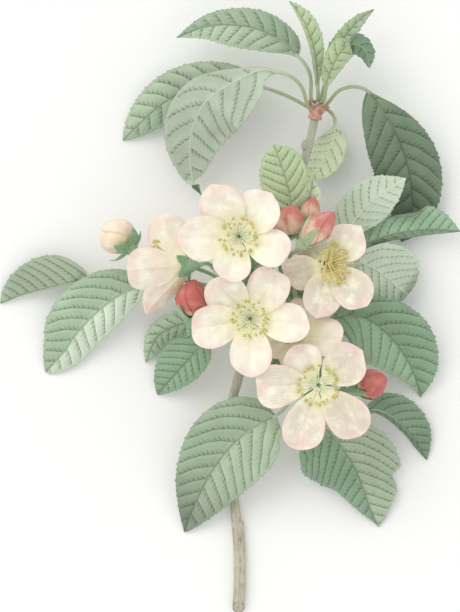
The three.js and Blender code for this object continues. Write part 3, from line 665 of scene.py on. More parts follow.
class Growth(Nodes):
    """A Geometry Nodes tree with named inputs, and the plain mesh that it grows."""

    FLAG = "grown"

    def __init__(self, name: str, **sockets: str) -> None:
        """Starts a tree.

        Args:
            name: The tree's name.
            sockets: The kinds of its inputs, by name.
        """
        tree = bpy.data.node_groups.new(name, "GeometryNodeTree")
        super().__init__(tree)
        add = tree.interface.new_socket
        for title, kind in {"Geometry": "Geometry", **sockets}.items():
            add(title, in_out="INPUT", socket_type=f"NodeSocket{kind}")
        add("Geometry", in_out="OUTPUT", socket_type="NodeSocketGeometry")
        self.inputs = self.node("NodeGroupInput").outputs

    def given(self, name: str) -> Value:
        """The input of that name, for maths."""
        return Value(self, self.inputs[name])

    def marked(self, geometry: Source, name: str, value: Source) -> Source:
        """The geometry with a number kept on its corners.

        Args:
            geometry: What carries it.
            name: What it is kept under.
            value: The number.

        Returns:
            The geometry.
        """
        settings = {"data_type": "FLOAT", "domain": "POINT"}
        inputs = {"Geometry": geometry, "Name": name, "Value": value}
        return self.node("GeometryNodeStoreNamedAttribute", settings, inputs).outputs[0]

    def joined(self, *geometries: Source) -> Source:
        """Several geometries as one.

        Args:
            geometries: What to join.

        Returns:
            The whole.
        """
        made = self.node("GeometryNodeJoinGeometry")
        for geometry in reversed(geometries):
            self.tree.links.new(geometry, made.inputs[0])
        return made.outputs[0]

    def turned(self, x: Source = 0.0, y: Source = 0.0, z: Source = 0.0) -> Source:
        """A rotation about the three axes, in radians."""
        euler = self.vector(x, y, z)
        return self.node("FunctionNodeEulerToRotation", inputs={0: euler}).outputs[0]

    def chance(self, low: Source, high: Source, salt: int) -> Value:
        """A random number for each point.

        Args:
            low: The least it can be.
            high: The most.
            salt: Sets it apart from the tree's other numbers.

        Returns:
            The number.
        """
        node = self.node("FunctionNodeRandomValue", {"data_type": "FLOAT"})
        inputs = {"Min": low, "Max": high, "Seed": self.given("Seed") + salt}
        for socket in node.inputs:
            if socket.enabled and socket.name in inputs:
                self._plug(socket, inputs[socket.name])
        output = next(socket for socket in node.outputs if socket.enabled)
        return Value(self, output)

    def copies(self, points: Source, shape: Source, rotation: Source, scale: Source) -> Source:
        """A copy of a shape on each point."""
        inputs = {"Points": points, "Instance": shape, "Rotation": rotation, "Scale": scale}
        return self.node("GeometryNodeInstanceOnPoints", inputs=inputs).outputs[0]

    def end(self, geometry: Source) -> None:
        """Makes the copies real and gives what was grown its finish.

        Args:
            geometry: What the tree made.
        """
        real = self.node("GeometryNodeRealizeInstances", inputs={0: geometry}).outputs[0]
        named = {"Name": self.FLAG}
        flag = self.node("GeometryNodeInputNamedAttribute", {"data_type": "FLOAT"}, named)
        inputs = {"Geometry": real, "Selection": flag.outputs[0], "Material": self.inputs["Finish"]}
        finished = self.node("GeometryNodeSetMaterial", inputs=inputs).outputs[0]
        self.node("NodeGroupOutput", inputs={0: finished})

    def mesh(self, base: Mesh, settings: Settings) -> Mesh:
        """Runs the tree over a mesh.

        Args:
            base: The mesh to grow on.
            settings: The values of the tree's inputs, by name.

        Returns:
            The result as a plain mesh.
        """
        carrier = bpy.data.objects.new(f"{base.name}_carrier", base)
        bpy.context.scene.collection.objects.link(carrier)
        modifier = carrier.modifiers.new(self.tree.name, "NODES")
        modifier.node_group = self.tree
        for item in self.tree.interface.items_tree:
            if item.in_out == "INPUT" and item.name in settings:
                modifier[item.identifier] = settings[item.name]
        bpy.context.view_layer.update()
        depsgraph = bpy.context.evaluated_depsgraph_get()
        evaluated = carrier.evaluated_get(depsgraph)
        keep = {"preserve_all_data_layers": True, "depsgraph": depsgraph}
        result = bpy.data.meshes.new_from_object(evaluated, **keep)
        carrier.modifiers.remove(modifier)
        bpy.data.objects.remove(carrier)
        return result


class Sprout(Enum):
    """What can be scattered over a skin."""

    SPECK = "speck"
    HAIR = "hair"


class Scatter(Growth):
    """Specks or hairs scattered over a skin."""

    SPECK = (0.7, 1.15, 0.32)
    HAIR = {"Radius Top": 0.012, "Radius Bottom": 0.05, "Depth": 1.0}

    def __init__(self, name: str, kind: Sprout) -> None:
        """Builds the tree for one kind of growth.

        Args:
            name: Its name.
            kind: What grows.
        """
        super().__init__(name, Density="Float", Size="Float", Seed="Int", Finish="Material")
        skin = self.inputs["Geometry"]
        inputs = {"Mesh": skin, "Density": self.inputs["Density"], "Seed": self.inputs["Seed"]}
        spread = self.node("GeometryNodeDistributePointsOnFaces", inputs=inputs)
        shape = self._speck() if kind is Sprout.SPECK else self._hair()
        tips = self.chance(-0.5, 0.5, 1), self.chance(-0.5, 0.5, 2)
        lean = self.turned(*tips, self.chance(0, 6.3, 5))
        inputs = {"Rotation": spread.outputs["Rotation"], "Rotate By": lean}
        if kind is Sprout.SPECK:
            inputs["Rotate By"] = self.turned(z=self.chance(-0.3, 0.3, 1))
        settings = {"rotation_space": "LOCAL"}
        rotation = self.node("FunctionNodeRotateRotation", settings, inputs).outputs[0]
        size = self.given("Size") * self.chance(0.6, 1.2, 3)
        copies = self.copies(spread.outputs["Points"], shape, rotation, size.socket)
        grown = self.marked(copies, self.FLAG, 1.0)
        self.end(self.joined(skin, grown))

    def _speck(self) -> Source:
        """A low lens-shaped wart, of size 1.

        Returns:
            The wart.
        """
        inputs = {"Radius": 1.0, "Subdivisions": 2}
        body = self.node("GeometryNodeMeshIcoSphere", inputs=inputs).outputs[0]
        inputs = {0: body, "Scale": self.SPECK}
        return self.node("GeometryNodeTransform", inputs=inputs).outputs[0]

    def _hair(self) -> Source:
        """A slender three-sided hair, of size 1."""
        inputs = {"Vertices": 3, "Side Segments": 1, **self.HAIR}
        return self.node("GeometryNodeMeshCone", inputs=inputs).outputs[0]

    def grown(
        self, skin: Mesh, density: float, size: float, seed: int,
        finish: Material,
    ) -> Mesh:
        """Scatters over a skin.

        Args:
            skin: The mesh to cover.
            density: How many on each square millimetre.
            size: Their size in millimetres.
            seed: Picks their places.
            finish: Their material.

        Returns:
            The skin and what grew on it.
        """
        name = skin.name
        settings = {"Density": density / MM**2, "Size": size * MM, "Seed": seed, "Finish": finish}
        mesh = self.mesh(skin, settings)
        mesh.name = name
        return mesh


class Organ(Enum):
    """The parts of a bloom's middle, as kept on their corners."""

    THREAD = 0.0
    ANTHER = 1.0
    DISC = 2.0
    STYLE = 3.0


class StamenTree(Growth):
    """A bloom's stamens, disc and styles."""

    ANTHER = (0.86, 0.6, 0.45)
    FOOT = 0.9  # the height of the threads' and styles' feet
    STYLES = 5
    STYLE_LENGTH = 4.5
    STYLE_RADIUS = 0.2
    STYLE_RING = 0.24
    STYLE_RISE = 82
    STIGMA = (0.34, 0.34, 0.34)
    DISC = (DISC_RADIUS, DISC_RADIUS, 0.6)
    DISC_HEIGHT = 0.78

    def __init__(self) -> None:
        """Builds the tree."""
        sizes = dict.fromkeys(("Longest", "Shortest", "Low", "High", "Thick"), "Float")
        super().__init__("stamens", Count="Int", **sizes, Seed="Int", Finish="Material")
        share = self.chance(0, 1, 1) ** 1.7
        rise = self.given("Low") + (self.given("High") - self.given("Low")) * share
        size = 1 - (1 - self.given("Shortest")) * share * self.chance(0.6, 1.1, 2)
        azimuth = self._azimuth(math.radians(GOLDEN_ANGLE)) + self.chance(-0.12, 0.12, 3)
        ring = self._ring(self.inputs["Count"], azimuth, DISC_RADIUS - 0.35)
        turn = self.turned(0.0, 0 - rise, azimuth)
        threads = self.copies(ring, self._thread(), turn, size.socket)
        around = self._azimuth(2 * math.pi / self.STYLES)
        foot = self._ring(self.STYLES, around, self.STYLE_RING)
        steep = self.turned(0.0, math.radians(-self.STYLE_RISE), around)
        styles = self.copies(foot, self._style(), steep, (1, 1, 1))
        whole = self.joined(self._disc(), threads, styles)
        self.end(self.marked(whole, self.FLAG, 1.0))

    def _azimuth(self, step: float) -> Value:
        """The angle of each point, a step on from the last."""
        return self.value("GeometryNodeInputIndex") * step

    def _ring(self, count: Source, azimuth: Value, radius: float) -> Source:
        """Points on a ring.

        Args:
            count: How many there are.
            azimuth: The angle of each.
            radius: The ring's radius, in millimetres.

        Returns:
            The points.
        """
        radius *= MM
        place = self.vector(azimuth.cosine() * radius, azimuth.sine() * radius, self.FOOT * MM)
        points = self.node("GeometryNodePoints", inputs={"Count": count, "Position": place})
        return points.outputs[0]

    def _cord(self, reach: Source, radius: Source) -> Source:
        """A thread along the X axis with a slight arch.

        Args:
            reach: Its length in metres.
            radius: Its radius in metres.

        Returns:
            The thread.
        """
        length = Value(self, reach)
        inputs = {
            "Resolution": 8, "Start": (0, 0, 0),
            "Middle": self.vector(length * 0.5, 0.0, length * 0.09), "End": self.vector(length),
        }
        line = self.node("GeometryNodeCurveQuadraticBezier", inputs=inputs).outputs[0]
        inputs = {"Resolution": 7, "Radius": radius}
        section = self.node("GeometryNodeCurvePrimitiveCircle", inputs=inputs).outputs[0]
        inputs = {"Curve": line, "Profile Curve": section, "Fill Caps": True}
        return self.node("GeometryNodeCurveToMesh", inputs=inputs).outputs[0]

    def _lump(self, sizes: Point, at: Source, fine: int = 3) -> Source:
        """An egg-shaped body at a place.

        Args:
            sizes: Its radius along each axis, in millimetres.
            at: Where its middle is.
            fine: How often its faces are split.

        Returns:
            The body.
        """
        inputs = {"Radius": MM, "Subdivisions": fine}
        body = self.node("GeometryNodeMeshIcoSphere", inputs=inputs).outputs[0]
        inputs = {0: body, "Translation": at, "Scale": sizes}
        return self.node("GeometryNodeTransform", inputs=inputs).outputs[0]

    def _thread(self) -> Source:
        """One stamen: its thread and its two-lobed anther.

        Returns:
            The stamen.
        """
        reach = self.inputs["Longest"]
        thread = self.marked(self._cord(reach, self.inputs["Thick"]), "part", Organ.THREAD.value)
        length, width, depth = self.ANTHER
        lobes = [
            self._lump((length, width * 0.7, depth), self.vector(reach, side * width * MM * 0.26))
            for side in (-1, 1)
        ]
        return self.joined(thread, self.marked(self.joined(*lobes), "part", Organ.ANTHER.value))

    def _style(self) -> Source:
        """One style and its stigma.

        Returns:
            The style.
        """
        reach = self.STYLE_LENGTH * MM
        stem = self.node("ShaderNodeValue")
        stem.outputs[0].default_value = reach
        cord = self._cord(stem.outputs[0], self.STYLE_RADIUS * MM)
        stigma = self._lump(self.STIGMA, self.vector(reach), 2)
        return self.marked(self.joined(cord, stigma), "part", Organ.STYLE.value)

    def _disc(self) -> Source:
        """The domed disc that the stamens stand round."""
        disc = self._lump(self.DISC, self.vector(z=self.DISC_HEIGHT * MM), 4)
        return self.marked(disc, "part", Organ.DISC.value)

    def grown(self, threads: "Threads", seed: int, finish: Material) -> Mesh:
        """Grows the stamens of a bloom that stands on the origin.

        Args:
            threads: How they stand.
            seed: Picks each one's length and lean.
            finish: Their material.

        Returns:
            The mesh.
        """
        low, high = (math.radians(angle) for angle in threads.rise)
        shortest, longest = threads.length
        settings = {
            "Count": threads.count, "Longest": longest * MM, "Shortest": shortest / longest,
            "Low": low, "High": high, "Thick": threads.thick * MM, "Seed": seed, "Finish": finish,
        }
        return self.mesh(bpy.data.meshes.new("stamen_seed"), settings)


# ---- Blades ----


@dataclass(frozen=True)
class Spots:
    """Where the corners of a sheet lie on its blade, one row for each place along it.

    Attributes:
        t: Along the blade, 0 at its base and 1 at its tip.
        c: Across it, -1 at the left margin and 1 at the right one.
        reach: Millimetres from the rib.
        width: The half's whole width there, in millimetres.
        length: The blade's length, in millimetres.
    """

    t: Array
    c: Array
    reach: Array
    width: Array
    length: float

    @property
    def rim(self) -> Array:
        """Millimetres to the margin."""
        return self.width - self.reach


@dataclass(frozen=True)
class Relief:
    """What a sheet has on top of its plain form: offsets at each of its corners, in millimetres.

    Attributes:
        lift: Up from the surface.
        tooth: Out from the margin.
        slide: Towards the tip.
    """

    lift: Array
    tooth: Array
    slide: Array


@dataclass(frozen=True, kw_only=True)
class Blade:
    """A thin plate on a stalk, bent across and along.

    Across, each half leaves the rib at its `fold` and turns by its `bend` on the way to the
    margin. Lengths keep, so a strong bend rolls the margin over.

    Attributes:
        rib: The points of the midrib, from the blade's base to its tip.
        halves: The widths left and right of it.
        stalk: The points of the stalk, from its foot.
        up: The direction that the upper side looks in.
        roll: The turn about the midrib.
        fold: The angle of each half at the midrib.
        bend: The further turn of each half.
        grip: How late the bend comes: 1 is even.
        base: How soon each half widens.
        point: How slowly each half closes.
        sharp: The share of the blade that narrows evenly to its point, or 0.
        stalk_radius: Half the stalk's thickness.
        thick: The plate's thickness.
    """

    rib: Sequence[Point]
    halves: tuple[float, float]
    stalk: Sequence[Point] = ()
    up: Point = UP
    roll: Stops = 0
    fold: Pair = (8, 8)
    bend: Pair = (-14, -14)
    grip: float = 1.3
    base: tuple[float, float] = (0.6, 0.6)
    point: tuple[float, float] = (0.9, 0.9)
    sharp: float = 0
    stalk_radius: float = STALK_RADIUS
    thick: float = BLADE_THICK

    BEND_STEPS = 12
    FLAT_BASE = 0.12  # the share of the blade that eases out of the stalk
    THIN_EDGE = 0.5
    THIN_TIP = 0.16  # the midrib's radius at its end, against the stalk's
    STALK_RINGS = 14
    RIB_RINGS = 30
    RIB_END = 0.97

    @cached_property
    def route(self) -> Route:
        """The stalk and the midrib as one line."""
        return Route([*self.stalk, *self.rib])

    @cached_property
    def start(self) -> float:
        """The share of the route at which the blade begins."""
        return self.route.share_at(len(self.stalk))

    @property
    def length(self) -> float:
        """The blade's length along its midrib."""
        return self.route.length * (1 - self.start)

    def widths(self, half: int, t: Array) -> Array:
        """The half's width at places along the blade.

        Args:
            half: 0 for the columns below 0 and 1 for the others.
            t: Where to look, from the base at 0 to the tip at 1.

        Returns:
            The widths.
        """
        base, point = self.base[half], self.point[half]
        fullest = base / (base + point)
        most = fullest**base * (1 - fullest) ** point
        t = np.clip(t, 0, 1)
        shape = t**base * (1 - t) ** point / most
        if self.sharp:
            cone = (1 - t) / self.sharp + 1e-6
            shape = shape * cone / (shape**4 + cone**4) ** 0.25
        return np.hypot(self.stalk_radius * (1 - t), self.halves[half] * shape)

    def spots(self, t: Array, c: Array) -> Spots:
        """Where rows at `t` and columns at `c` lie.

        Args:
            t: The rows, from the base at 0 to the tip at 1.
            c: The columns, from -1 to 1.

        Returns:
            The corners.
        """
        width = np.where(c < 0, self.widths(0, t)[:, None], self.widths(1, t)[:, None])
        rows = np.broadcast_to(t[:, None], width.shape)
        columns = np.broadcast_to(c, width.shape)
        return Spots(rows, columns, np.abs(columns) * width, width, self.length)

    def _across(self, spots: Spots, reach: Array) -> tuple[Array, Array, Array]:
        """How far out, how far up and how turned the corners are.

        Args:
            spots: Where the corners lie.
            reach: How far from the rib each is, along the plate.

        Returns:
            The three, for each corner.
        """
        t = spots.t[:, 0]
        left = spots.c < 0
        fold, bend = (
            np.radians(np.where(left, *(along(stops, t)[:, None] for stops in pair)))
            for pair in (self.fold, self.bend)
        )
        full = np.where(left, *self.halves)
        out, high, angle = np.zeros_like(reach), np.zeros_like(reach), fold
        for i in range(self.BEND_STEPS):
            share = np.clip(reach * (i + 0.5) / self.BEND_STEPS / full, 0, 1)
            angle = fold + bend * share**self.grip
            out = out + np.cos(angle) * reach / self.BEND_STEPS
            high = high + np.sin(angle) * reach / self.BEND_STEPS
        return out, high, angle

    def sheet(self, spots: Spots, relief: Relief) -> tuple[Skin, Array]:
        """The plate.

        Args:
            spots: Where its corners lie.
            relief: What is added to its plain form.

        Returns:
            The plate, and 1 for each corner of its upper side and 0 for the others.
        """
        t = spots.t[:, 0]
        rows, columns = spots.t.shape
        share = self.start + (1 - self.start) * t
        place, tangent, normal, side = self.route.frames(share, self.up, along(self.roll, t))
        flat = smooth(spots.t, 0, self.FLAT_BASE)
        out, high, angle = self._across(spots, spots.reach + relief.tooth)
        sign = np.sign(spots.c)
        x = sign * (spots.reach + (out - spots.reach) * flat)
        y = high * flat + relief.lift * flat
        turn = sign * angle * flat * np.clip(np.abs(spots.c) / 0.15, 0, 1)
        thin = self.thick / 2 * (1 - self.THIN_EDGE * np.abs(spots.c) ** 6)
        grids = []
        for face in (1, -1):
            grids.append(
                place[:, None]
                + side[:, None] * (x - face * thin * np.sin(turn))[..., None]
                + normal[:, None] * (y + face * thin * np.cos(turn))[..., None]
                + tangent[:, None] * relief.slide[..., None]
            )
        faces = grid_faces(rows, columns)
        below = rows * columns
        faces += [tuple(corner + below for corner in face[::-1]) for face in faces]
        index = np.arange(below).reshape(rows, columns)
        loop = [*index[0], *index[1:, -1], *index[-1, -2::-1], *index[-2:0:-1, 0]]
        for a, b in zip(loop, [*loop[1:], loop[0]]):
            faces.append((int(b), int(a), int(a) + below, int(b) + below))
        points = np.stack(grids).reshape(-1, 3)
        upper = np.repeat([1.0, 0.0], below)
        return Skin(points, faces).outward(), upper

    def midrib(self, finish: int) -> Skin:
        """The stalk, which goes on under the blade as its midrib and thins to its tip.

        Args:
            finish: Which of the piece's finishes it takes.

        Returns:
            Both, as one body.
        """
        stalk = self.start if self.stalk else 0.0
        bare = np.linspace(0, stalk, self.STALK_RINGS)[:-1]
        shares = np.concatenate([bare, np.linspace(stalk, self.RIB_END, self.RIB_RINGS)])
        t = np.clip((shares - stalk) / (1 - stalk), 0, 1)
        radius = self.stalk_radius * (1 - (1 - self.THIN_TIP) * t**0.25)
        drop = radius * smooth(t, 0, 0.03)
        return tube(self.route, shares, radius, 10, self.up, drop, along(self.roll, t), finish)


def twice(values: Array) -> Array:
    """The values of a sheet's corners, for both its sides."""
    return np.concatenate([values.ravel(), values.ravel()])


def columns_to_margin(count: int, crowd: float = 1.7) -> Array:
    """Columns from one margin to the other, crowded at both, with a pair along the rib.

    Args:
        count: Steps in each half.
        crowd: How close those at the margin stand.

    Returns:
        The columns.
    """
    half = 1 - (1 - np.linspace(0, 1, count + 1)) ** crowd
    half[0] = 0.004
    return np.concatenate([-half[::-1], half])


# ---- Leaves ----


def own_number(name: str) -> int:
    """A number that goes with a name."""
    return sum(ord(letter) * (i + 3) for i, letter in enumerate(name)) % 1000


@dataclass(frozen=True)
class Leaf(Blade):
    """A leaf: its finely toothed blade with sunken veins, and its stalk.

    Attributes:
        name: The solid's name.
        limb: What its stalk grows from.
        upper: The tones of the upper side, left and right of the midrib; where they differ, the
            darker half is painted shade.
        under: The tone of the underside.
        glow: How light it is along its length.
        young: Whether it has the brighter finish of a young leaf.
    """

    name: str
    limb: Limb
    upper: tuple[Tone, Tone]
    under: Tone
    _: KW_ONLY
    glow: Stops = ((0, 0.95), (1, 1.05))
    young: bool = False

    TOOTH_EVERY = 1.9
    TOOTH_DEPTH = 0.6
    TOOTH_SHAPE = ((0.0, 0.0), (0.28, 0.6), (0.56, 0.92), (0.82, 1.0))
    LATERALS = 10.0  # side veins in each half
    CLOSEST = 4.1  # least distance between them
    # where the lamp stands; it picks the flank of each side vein that takes painted shade
    LIT_FROM = (-1, 1, 0)
    LATERAL_SLOPE = 0.58
    LATERAL_CURVE = 0.034
    QUILT = 0.42
    CHANNEL = 0.3
    COLUMNS = 13  # in each half
    LAST_ROW = 0.998
    FEWEST_TEETH = 8

    def _veins(self, spots: Spots) -> tuple[Array, Array, float]:
        """The number of the side vein at each corner, the way along it, and the veins' spacing.

        Args:
            spots: Where the corners lie.

        Returns:
            The three.
        """
        spacing = max(spots.length / self.LATERALS, self.CLOSEST)
        forward = spots.t * spots.length
        lean = self.LATERAL_SLOPE * spots.reach + self.LATERAL_CURVE * spots.reach**2
        number = (forward - lean) / spacing + np.where(spots.c < 0, 0.38, 0)
        return number, 0.85 * spots.reach + 0.5 * forward, spacing

    def _painted_shade_flanks(self, points: Array, spots: Spots) -> Array:
        """1 where the side veins' flank that takes painted shade is the one towards the tip, and -1
        elsewhere.

        Args:
            points: The plate's corners.
            spots: Where they lie.

        Returns:
            The number for each corner of one side.
        """
        rows, columns = spots.t.shape
        grid = points[: rows * columns].reshape(rows, columns, 3)
        middle, rib = rows // 2, columns // 2
        forward = unit(grid[middle + 4, rib] - grid[middle - 4, rib])
        shade_flanks = []
        for margin in (0, -1):
            out = unit(grid[middle, margin] - grid[middle, rib])
            shade_flanks.append(np.sign((forward - self.LATERAL_SLOPE * out) @ np.array(self.LIT_FROM)))
        return np.where(spots.c < 0, *shade_flanks)

    def _relief(self, spots: Spots, teeth: int) -> Relief:
        """The teeth, the quilting between the veins and the margin's slow waves.

        Args:
            spots: Where the corners lie.
            teeth: How many each margin has.

        Returns:
            What is added to the plain plate.
        """
        phase = (spots.t * teeth + 1e-6) % 1
        places, heights = zip(*self.TOOTH_SHAPE, (1.0, 0.0))
        size = np.clip(spots.width / max(self.halves) + 0.1, 0, 1) * self.TOOTH_DEPTH
        edge = smooth(np.abs(spots.c), 0.93, 1)
        uneven = 0.8 + 0.35 * np.sin(np.floor(spots.t * teeth) * 2.4 + 3 * np.sign(spots.c))
        tooth = np.interp(phase, places, heights) * size * uneven * edge
        tooth = tooth * smooth(spots.t, 0.02, 0.1)
        number, _, spacing = self._veins(spots)
        inner = smooth(spots.rim, 0.2, 3) * smooth(spots.reach, 0.2, 2)
        quilt = np.abs(np.sin(np.pi * number)) ** 0.7 * inner * self.QUILT * min(spacing / 4, 1)
        channel = -np.exp(-((spots.reach / 0.7) ** 2)) * self.CHANNEL * (1 - spots.t)
        start = own_number(self.name) * 0.137 + np.where(spots.c < 0, 0.3, 0)
        turn = 2 * np.pi * (3.2 * spots.t + start)
        wave = 0.035 * spots.width * np.abs(spots.c) ** 2.5 * np.sin(turn) * (1 - spots.t**4)
        return Relief(quilt + channel + wave, tooth, tooth * 0.7)

    def _tints(self, spots: Spots) -> Array:
        """The colour at each corner.

        Args:
            spots: Where the corners lie.

        Returns:
            The colours, of the upper side and then of the lower.
        """
        # a half darker than the other is painted shade
        right = smooth(spots.c, -0.04, 0.04)[..., None]
        above = self.upper[0].light * (1 - right) + self.upper[1].light * right
        below = np.broadcast_to(self.under.light, above.shape)
        tints = np.concatenate([above.reshape(-1, 4), below.reshape(-1, 4)])
        t = twice(spots.t)
        shade = along(self.glow, t) - 0.06 * np.sin(5 * t + own_number(self.name))
        tints[:, :3] *= shade[:, None]
        return tints

    def _stem_tints(self, count: int) -> Array:
        """The stalk's colour, which turns into the midrib's along the stalk.

        Args:
            count: How many corners it has.

        Returns:
            The colours.
        """
        share = smooth(np.linspace(0, 1, count), 0.1, 0.5)[:, None]
        green = Tone.STALK.light * (1 - share) + self.under.light * 1.12 * share
        green[:, 3] = 1
        return green

    def build(self, finishes: Finishes) -> Object:
        """Makes the leaf.

        Args:
            finishes: The finishes of the branch.

        Returns:
            The piece.
        """
        blade = replace(self, stalk=(seat_on(self.limb, self.stalk[0]), *self.stalk))
        teeth = max(self.FEWEST_TEETH, round(blade.length / self.TOOTH_EVERY))
        starts = np.arange(teeth)[:, None] + np.array([place for place, _ in self.TOOTH_SHAPE])
        t = np.append(starts.ravel() / teeth, [self.LAST_ROW])
        spots = blade.spots(t, columns_to_margin(self.COLUMNS))
        sheet, upper = blade.sheet(spots, self._relief(spots, teeth))
        number, run, spacing = self._veins(spots)
        # the sign of each spacing marks the flank that takes painted shade
        shade_flanks = twice(self._painted_shade_flanks(sheet.points, spots)) * spacing
        sheet.values = {
            "veins": np.stack([twice(number), twice(run), shade_flanks], axis=1),
            "place": np.stack([twice(spots.reach), twice(spots.rim), upper], axis=1),
            "tint": self._tints(spots),
        }
        stem = blade.midrib(1).laid()
        stem.values = {"tint": self._stem_tints(len(stem.points))}
        coat = "young_leaf" if self.young else "leaf"
        mesh = mesh_of(self.name, [sheet.laid(), stem], [finishes[coat], finishes["stalk"]])
        return settle(self.name, mesh)


# ---- Wood ----


OLD_RADIUS = 2.4
OLD_HEIGHT = OLD_RADIUS * math.cos(math.pi / 8)  # it lies on a flat
SPUR_RADIUS = 2.7
SEAT_PLACES = 241  # how many places along the wood a stalk may sit at
SMALL_ROWS = 16
OLD_PLACES = ((3.4, -120.0), (3.9, -110), (3.8, -98), (3, -85.6))
SHOOT_PLACES = (
    (2.8, -87, 2.3), (1.8, -78, 2.8), (0.6, -66, 3.8), (-0.4, -52, 5.4), (0.4, -39.6, 7.6),
    (3.4, -28, 10.5), (7, -15, 13.5), (11, -1, 15.5), (15, 13, 16), (19.6, 27, 16), (24, 40, 16),
    (28.2, 54, 16), (32, 67, 16.5), (34.8, 80.8, 17),
)
LEFT_PLACES = ((9.5, -4, 15), (8.5, -1.5, 20), (7.5, 1, 26))
RIGHT_PLACES = ((10, -5, 14.5), (19, -6.5, 17), (26.5, -5.5, 24))
LIMBS = {  # the middle line of each length of wood, and its radius at its start and end
    Limb.OLD: (Route([(x, y, OLD_HEIGHT) for x, y in OLD_PLACES]), OLD_RADIUS, OLD_RADIUS),
    Limb.SHOOT: (Route(SHOOT_PLACES), 1.9, 1.6),
    Limb.LEFT_SPUR: (Route(LEFT_PLACES), 2.2, SPUR_RADIUS),
    Limb.RIGHT_SPUR: (Route(RIGHT_PLACES), 1.9, SPUR_RADIUS),
}


def girth(limb: Limb, share: Array | float) -> Array:
    """The wood's radius at shares of its length."""
    _, first, last = LIMBS[limb]
    return first + (last - first) * np.asarray(share)


def seat_on(limb: Limb, first: Point) -> Point:
    """Where a stalk that heads for a point is seated: on the skin of the wood, just clear of it.

    Args:
        limb: What it grows from.
        first: The point that it heads for.

    Returns:
        Its foot.
    """
    shares = np.linspace(0, 1, SEAT_PLACES)
    places, _ = LIMBS[limb][0].at(shares)
    best = int(np.argmin(np.linalg.norm(places - np.asarray(first), axis=1)))
    out = unit(np.asarray(first) - places[best])
    reach = girth(limb, shares[best]) + SEAT_GAP
    return tuple(float(value) for value in places[best] + out * reach)


